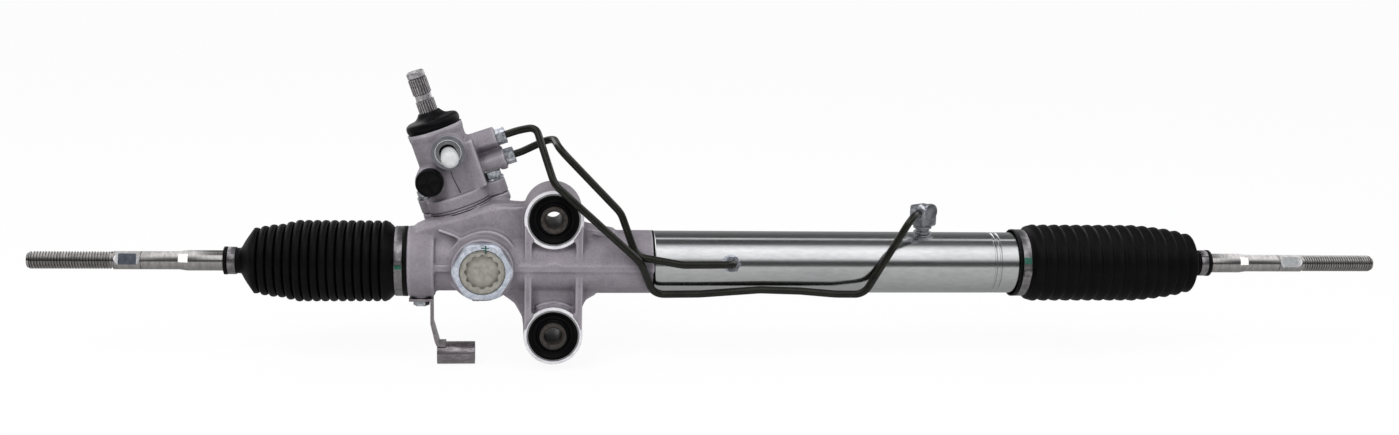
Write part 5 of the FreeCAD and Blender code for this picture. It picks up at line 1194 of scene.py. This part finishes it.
@dataclass
class TieRod:
    """Tie rod: ball, turned shank, wrench flats and rolled thread."""

    side: str
    way: float
    ball_x: float
    ball_radius: float = 12.5
    neck_radius: float = 7.2
    neck_end: float = 30.0
    rod_radius: float = 9.35
    shank_radius: float = 8.35
    cone: tuple[float, float] = (114.0, 121.0)
    flats: tuple[float, float] = (154.5, 177.5)
    across: float = 13.2
    run_out: float = 3.6
    flat_turn: float = 22.0
    thread: tuple[float, float] = (179.0, 253.5)
    thread_radius: float = 8.0
    thread_depth: float = 1.25
    pitch: float = 2.5
    mark_angles: tuple[float, float] = (1.0, 50.0)
    flat_finish: Surface = Surface.FLAT

    def place(self) -> Matrix:
        """Frame at the ball centre whose z axis runs out along the rod."""
        return RACK @ moved(self.ball_x) @ turned(90.0 * self.way, "Y")

    def finish(self, form: Form, name: str, surface: Surface, **settings: Any) -> None:
        """Turns a form into a piece of this rod."""
        form.finish(f"{self.side}_{name}", surface, body=f"{self.side}_rod", **settings)

    def rod(self) -> None:
        """Ball, shank and thread on one axis."""
        place, ball, shank = self.place(), self.ball_radius, self.shank_radius
        opening = math.degrees(math.acos(self.neck_radius / ball))
        outline = [(0.0, -ball)] + arc((0.0, 0.0), ball, -90.0, opening, 14)[1:]
        outline += [(self.neck_radius, outline[-1][1] + 2.0), (self.neck_radius, self.neck_end),
                    (self.rod_radius, self.neck_end + 4.0), (self.rod_radius, self.cone[0]),
                    (shank, self.cone[1]), (shank, self.flats[0] - 0.5),
                    (shank - 0.5, self.flats[0]), (0.0, self.flats[0])]
        form = Form().turn(outline, place, steps=ROUND_TURN)
        high = self.flats[1]
        form.turn([(0.0, high), (shank - 0.5, high), (shank, high + 0.5), (shank, high + 1.2),
                   (self.thread_radius - 1.0, high + 2.0), (0.0, high + 2.0)], place,
                  steps=ROUND_TURN)
        self.roll_thread(form)
        self.finish(form, "turned_tie_rod", Surface.ROD, stands_for=[f"{self.side}_tie_rod"],
                    smooth=32.0)

    def roll_thread(self, form: Form) -> None:
        """Adds the helical thread with its chamfered tip."""
        low, high = self.thread
        crest, root = self.thread_radius, self.thread_radius - self.thread_depth
        groove = ((root, 0.0), (root, 0.14), (crest, 0.48), (crest, 0.66))
        turns = int((high - low - 2.5) / self.pitch)
        shape = profile([(radius, low + self.pitch * (index + share))
                         for index in range(turns) for radius, share in groove])
        sweep(shape, 36, pitch=self.pitch)
        bmesh.ops.remove_doubles(shape, verts=shape.verts[:], dist=WELD_MM * 10.0)
        form.take(shape, self.place())
        form.turn([(0.0, low - 2.2), (root + 0.1, low - 2.2), (root + 0.1, high - 3.0),
                   (crest - 0.1, high - 2.6), (crest - 1.3, high), (0.0, high)], self.place())

    def flat(self) -> None:
        """Milled wrench flats; the crescent of the cutter's run-out at each end carries a painted
        highlight.
        """
        low, high = self.flats
        near, far = low + self.run_out, high - self.run_out
        half = self.across / 2.0
        lean = (self.shank_radius - half) / self.run_out
        place = self.place() @ turned(-self.flat_turn * self.way, "Z")
        form = Form()
        for start, end, slope, number in ((low, near, -lean, 2), (near, far, 0.0, 1),
                                          (far, high, lean, 2)):
            shape = lathe(profile([(0.0, start), (self.shank_radius, start),
                                   (self.shank_radius, end), (0.0, end)]), ROUND_TURN)
            station = start if slope > 0.0 else end
            for side in (-1.0, 1.0):
                cut = bmesh.ops.bisect_plane(
                    shape, geom=shape.verts[:] + shape.edges[:] + shape.faces[:], dist=1e-4,
                    plane_co=(0.0, side * half, station), plane_no=(0.0, side, -slope),
                    clear_outer=True)["geom_cut"]
                rim = [item for item in cut if isinstance(item, bmesh.types.BMEdge)]
                for face in bmesh.ops.holes_fill(shape, edges=rim, sides=0)["faces"]:
                    face.material_index = number
            form.take(shape, place)
        self.finish(form, "wrench_flats", Surface.ROD, smooth=30.0,
                    more=(self.flat_finish, Surface.RUN_OUT))

    def mark(self) -> None:
        """White paint brushed on the front of the shank, over the end of its cone."""
        rod, shank, (low, high) = self.rod_radius, self.shank_radius, self.cone
        shape = dab([(rod - 0.3, low - 1.5), (rod + 0.07, low - 1.5), (rod + 0.07, low + 0.5),
                     (shank + 0.12, high), (shank - 0.3, high)], self.mark_angles, 10)
        # The x axis points to the front here, so the angles of the paint rise from there
        ahead = Matrix(((0.0, 0.0, self.way, 0.0), (-1.0, 0.0, 0.0, 0.0),
                        (0.0, 1.0, 0.0, 0.0), (0.0, 0.0, 0.0, 1.0)))
        form = Form().take(shape, RACK @ moved(self.ball_x) @ ahead)
        self.finish(form, "paint_patch", Surface.WHITE_PAINT)

    def build(self) -> None:
        """Builds the rod, its flats and its paint patch."""
        self.rod()
        self.flat()
        self.mark()


@dataclass
class HoseBracket:
    """Rolled hose sleeve of the bracket under the barrel."""

    x: float = -90.0
    drop: float = 88.5
    radius: float = 10.5
    length: float = 35.0
    wall: float = 2.0

    def build(self) -> None:
        """Builds the bright outer sheet and the rubber lining; the drawn bracket stays."""
        place = RACK @ moved(self.x, 0.0, -self.drop) @ turned(90.0, "Y")
        half = self.length / 2.0
        form = Form().band((self.radius - 0.3, self.radius + 0.12), (-half, half), place, 0.12)
        form.finish("hose_sleeve_shell", Surface.SHEET)
        bore = self.radius - self.wall - 0.9
        form = Form().band((bore, bore + 0.8), (0.6 - half, half - 0.6), place, 0.2, 72)
        form.finish("hose_sleeve_lining", Surface.RUBBER)


@dataclass
class Studio:
    """Pale floor, soft light and the camera of the photograph."""

    floor_height: float = -0.1445
    camera_place: tuple[float, float, float] = (-0.038172, -1.397348, 0.277603)
    yaw: float = 7.1595
    pitch: float = 11.2373
    roll: float = 1.7565
    lens: float = 39.088
    lamp_aim: tuple[float, float, float] = (0.15, 0.0, -0.04)

    def floor(self) -> None:
        """Large pale floor that stays white in the picture and keeps a soft shadow; in reflections
        it shows a painted tone.
        """
        shape = bmesh.new()
        bmesh.ops.create_grid(shape, x_segments=1, y_segments=1, size=40.0)
        bmesh.ops.translate(shape, vec=(0.0, 0.0, self.floor_height), verts=shape.verts[:])
        data = bpy.data.meshes.new("studio_floor")
        shape.to_mesh(data)
        shape.free()
        material = bpy.data.materials.new("matt_white_floor_paint")
        graph = Graph(material)
        ray = graph.add("LightPath").outputs
        seen = graph.maths("MAXIMUM", ray["Is Camera Ray"], ray["Is Transmission Ray"])
        part = graph.maths("MAXIMUM", graph.maths("MULTIPLY", seen, 0.93),
                           graph.maths("MULTIPLY", ray["Is Glossy Ray"], 0.9))
        spot = graph.add("TexCoord").outputs["Object"]
        ahead = graph.add("SeparateXYZ", {0: spot}).outputs["Y"]
        # glossy rays see a painted reflection: dark beyond the table's edge in front, pale grey,
        # and painted shade under the part
        near = graph.ramp(graph.remap(ahead, -1.6, 0.0), [(place, linear(code)) for place, code in (
            (0.1, "262626"), (0.28, "C6C6C6"), (0.72, "C6C6C6"), (0.93, "B4B4B4"),
            (1.0, "9A9A9A"))])
        power = graph.mix(seen, near, linear("FFFFFF"))
        paint = graph.add("BsdfDiffuse", {"Color": linear("E6E6E6")}).outputs[0]
        glow = graph.add("Emission", {"Color": power, "Strength": 1.0}).outputs[0]
        mixed = graph.add("MixShader", {0: part, 1: paint, 2: glow}).outputs[0]
        graph.add("OutputMaterial", {"Surface": mixed})
        data.materials.append(material)
        plane = bpy.data.objects.new("studio_floor", data)
        bpy.context.scene.collection.objects.link(plane)

    def sky(self) -> None:
        """Soft studio surround: a wide front box, a dark band at eye level, a grey roof."""
        world = bpy.data.worlds.new("studio_surround")
        bpy.context.scene.world = world
        graph = Graph(world)
        aim = graph.add("TexCoord").outputs["Generated"]
        axes = graph.add("SeparateXYZ", {0: aim}).outputs
        angle = graph.maths("ARCTAN2", axes["Z"], graph.maths("MULTIPLY", axes["Y"], -1.0))
        share = graph.maths("DIVIDE", angle, math.pi)
        middle = graph.ramp(share, [(place, grey(value)) for place, value in (
            (0.0, 0.08), (0.075, 0.05), (0.1, 0.4), (0.14, 1.0), (0.24, 1.25), (0.31, 1.4),
            (0.36, 1.15), (0.4, 0.85), (0.45, 0.1), (0.575, 0.06), (0.59, 1.1), (0.61, 1.1),
            (0.625, 0.06), (0.75, 0.14), (1.0, 0.4))])
        ends = graph.ramp(share, [(place, grey(value)) for place, value in (
            (0.0, 0.1), (0.2, 0.12), (0.27, 0.6), (0.45, 1.7), (1.0, 1.3))])
        aside = graph.maths("ABSOLUTE", graph.maths("SUBTRACT", axes["X"], 0.1))
        tones = graph.mix(graph.remap(aside, 0.29, 0.36), middle, ends)
        tones = graph.mix(1.0, tones, graph.remap(aside, 0.55, 0.85, 1.0, 0.3), "MULTIPLY")
        ray = graph.add("LightPath").outputs["Is Camera Ray"]
        colour = graph.mix(ray, tones, linear("FFFFFF"))
        back = graph.add("Background", {"Color": colour, "Strength": 1.0}).outputs[0]
        graph.add("OutputWorld", {"Surface": back})

    def lamps(self) -> None:
        """Soft key from the upper left front and a weak fill from the right."""
        for name, place, power in (("key_box", (-0.9, -1.6, 1.7), 46.0),
                                   ("fill_box", (1.6, -1.2, 0.9), 14.0)):
            light = bpy.data.lights.new(name, "AREA")
            light.shape = "SQUARE"
            light.size = 1.2
            light.energy = power
            lamp = bpy.data.objects.new(name, light)
            lamp.location = place
            lamp.visible_glossy = False
            aim = Vector(self.lamp_aim) - Vector(place)
            lamp.rotation_euler = aim.to_track_quat("-Z", "Y").to_euler()
            bpy.context.scene.collection.objects.link(lamp)

    def camera(self) -> None:
        """Camera at the place, aim and lens of the photograph."""
        yaw, pitch, roll = (math.radians(v) for v in (self.yaw, self.pitch, self.roll))
        ahead = Vector((math.sin(yaw) * math.cos(pitch), math.cos(yaw) * math.cos(pitch),
                        -math.sin(pitch)))
        level = Vector((math.cos(yaw), -math.sin(yaw), 0.0))
        above = level.cross(ahead)
        right = level * math.cos(roll) + above * math.sin(roll)
        up = above * math.cos(roll) - level * math.sin(roll)
        data = bpy.data.cameras.new("studio_camera")
        data.sensor_fit = "HORIZONTAL"
        data.sensor_width = 36.0
        data.lens = self.lens
        data.clip_end = 100.0
        holder = bpy.data.objects.new("studio_camera", data)
        turn = Matrix((right, up, -ahead)).transposed().to_4x4()
        holder.matrix_world = Matrix.Translation(self.camera_place) @ turn
        bpy.context.scene.collection.objects.link(holder)
        bpy.context.scene.camera = holder

    def build(self) -> None:
        """Sets the view, the floor, the light and the camera."""
        bpy.context.scene.view_settings.view_transform = "Standard"
        self.floor()
        self.sky()
        self.lamps()
        self.camera()


def dress_frame(frame: dict[str, Any]) -> None:
    """Gives every drawn solid the finish of its material slot."""
    for name, node in frame["nodes"].items():
        for holder in node.material_slots:
            surface = FROM_NODE.get(name, FROM_SLOT.get(holder.material.name.split(".")[0]))
            if surface:
                holder.material = PAINTS.get(surface)
        LOG.info("%s: dressed", name)


def build_boots() -> None:
    """Builds both bellows and the bands on their ends."""
    Boot("left", -1.0, -154.0, 7.8, 16, 37.6, 5.6, (1.6, 3.6, 4.3, 5.6, 7.3), FoldShape.ROUND,
         ((29.6, -134.0), (32.7, -134.0), (32.7, -137.6), (31.5, -137.8), (31.5, -146.0),
          (33.0, -147.4), (36.0, -150.6)),
         ((19.0, -280.0), (12.6, -283.6), (11.7, -285.0), (11.7, -296.2), (12.8, -296.4),
          (12.9, -299.2), (9.9, -299.4)), (-243.7, -257.5, -286.0)).build()
    Boot("right", 1.0, 464.0, 11.2, 15, 37.3, 2.3, (0.8, 2.0, 3.4, 5.4, 8.2), FoldShape.CONICAL,
         ((29.5, 444.0), (32.5, 444.0), (32.5, 446.8), (31.4, 447.0), (31.4, 456.4),
          (32.4, 457.6), (35.6, 459.4)),
         ((18.0, 629.0), (12.6, 631.8), (11.7, 633.4), (11.7, 642.6), (12.8, 642.8),
          (12.9, 646.0), (9.9, 646.2)), (581.6, 598.4, 633.6)).build()
    BandClamp("left_collar", "housing", (-145.0, -137.8), 31.5, 1.0, 258.0,
              (262.0, 271.0)).build("left_boot_clamp")
    BandClamp("right_collar", "housing", (447.2, 455.2), 31.4, 1.0, 275.0,
              (249.0, 260.0)).build("right_boot_clamp")
    BandClamp("left_neck", "left_rod", (-295.6, -288.6), 11.7, 0.9, 240.0,
              ear_height=1.2).build("left_boot_clip")
    BandClamp("right_neck", "right_rod", (635.2, 642.2), 11.7, 0.9, 215.0,
              ear_height=1.2).build("right_boot_clip")


def main() -> None:
    """Builds the rack in order; each piece logs its count of faces."""
    logging.basicConfig(level=logging.INFO, format="%(message)s")
    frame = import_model()
    Studio().build()
    dress_frame(frame)
    RackCasting().build(frame)
    ValveCasting().build(frame)
    CylinderTube().build()
    MountBush("upper", 45.0).build()
    MountBush("lower", -65.0).build()
    GuideAdjuster().build()
    ValveTop().build()
    PortFittings().build()
    PipeFittings().build()
    HoseBracket().build()
    build_boots()
    TieRod("left", -1.0, -218.0).build()
    TieRod("right", 1.0, 564.0, flat_finish=Surface.DULL_FLAT).build()


if __name__ == "__main__":
    main()
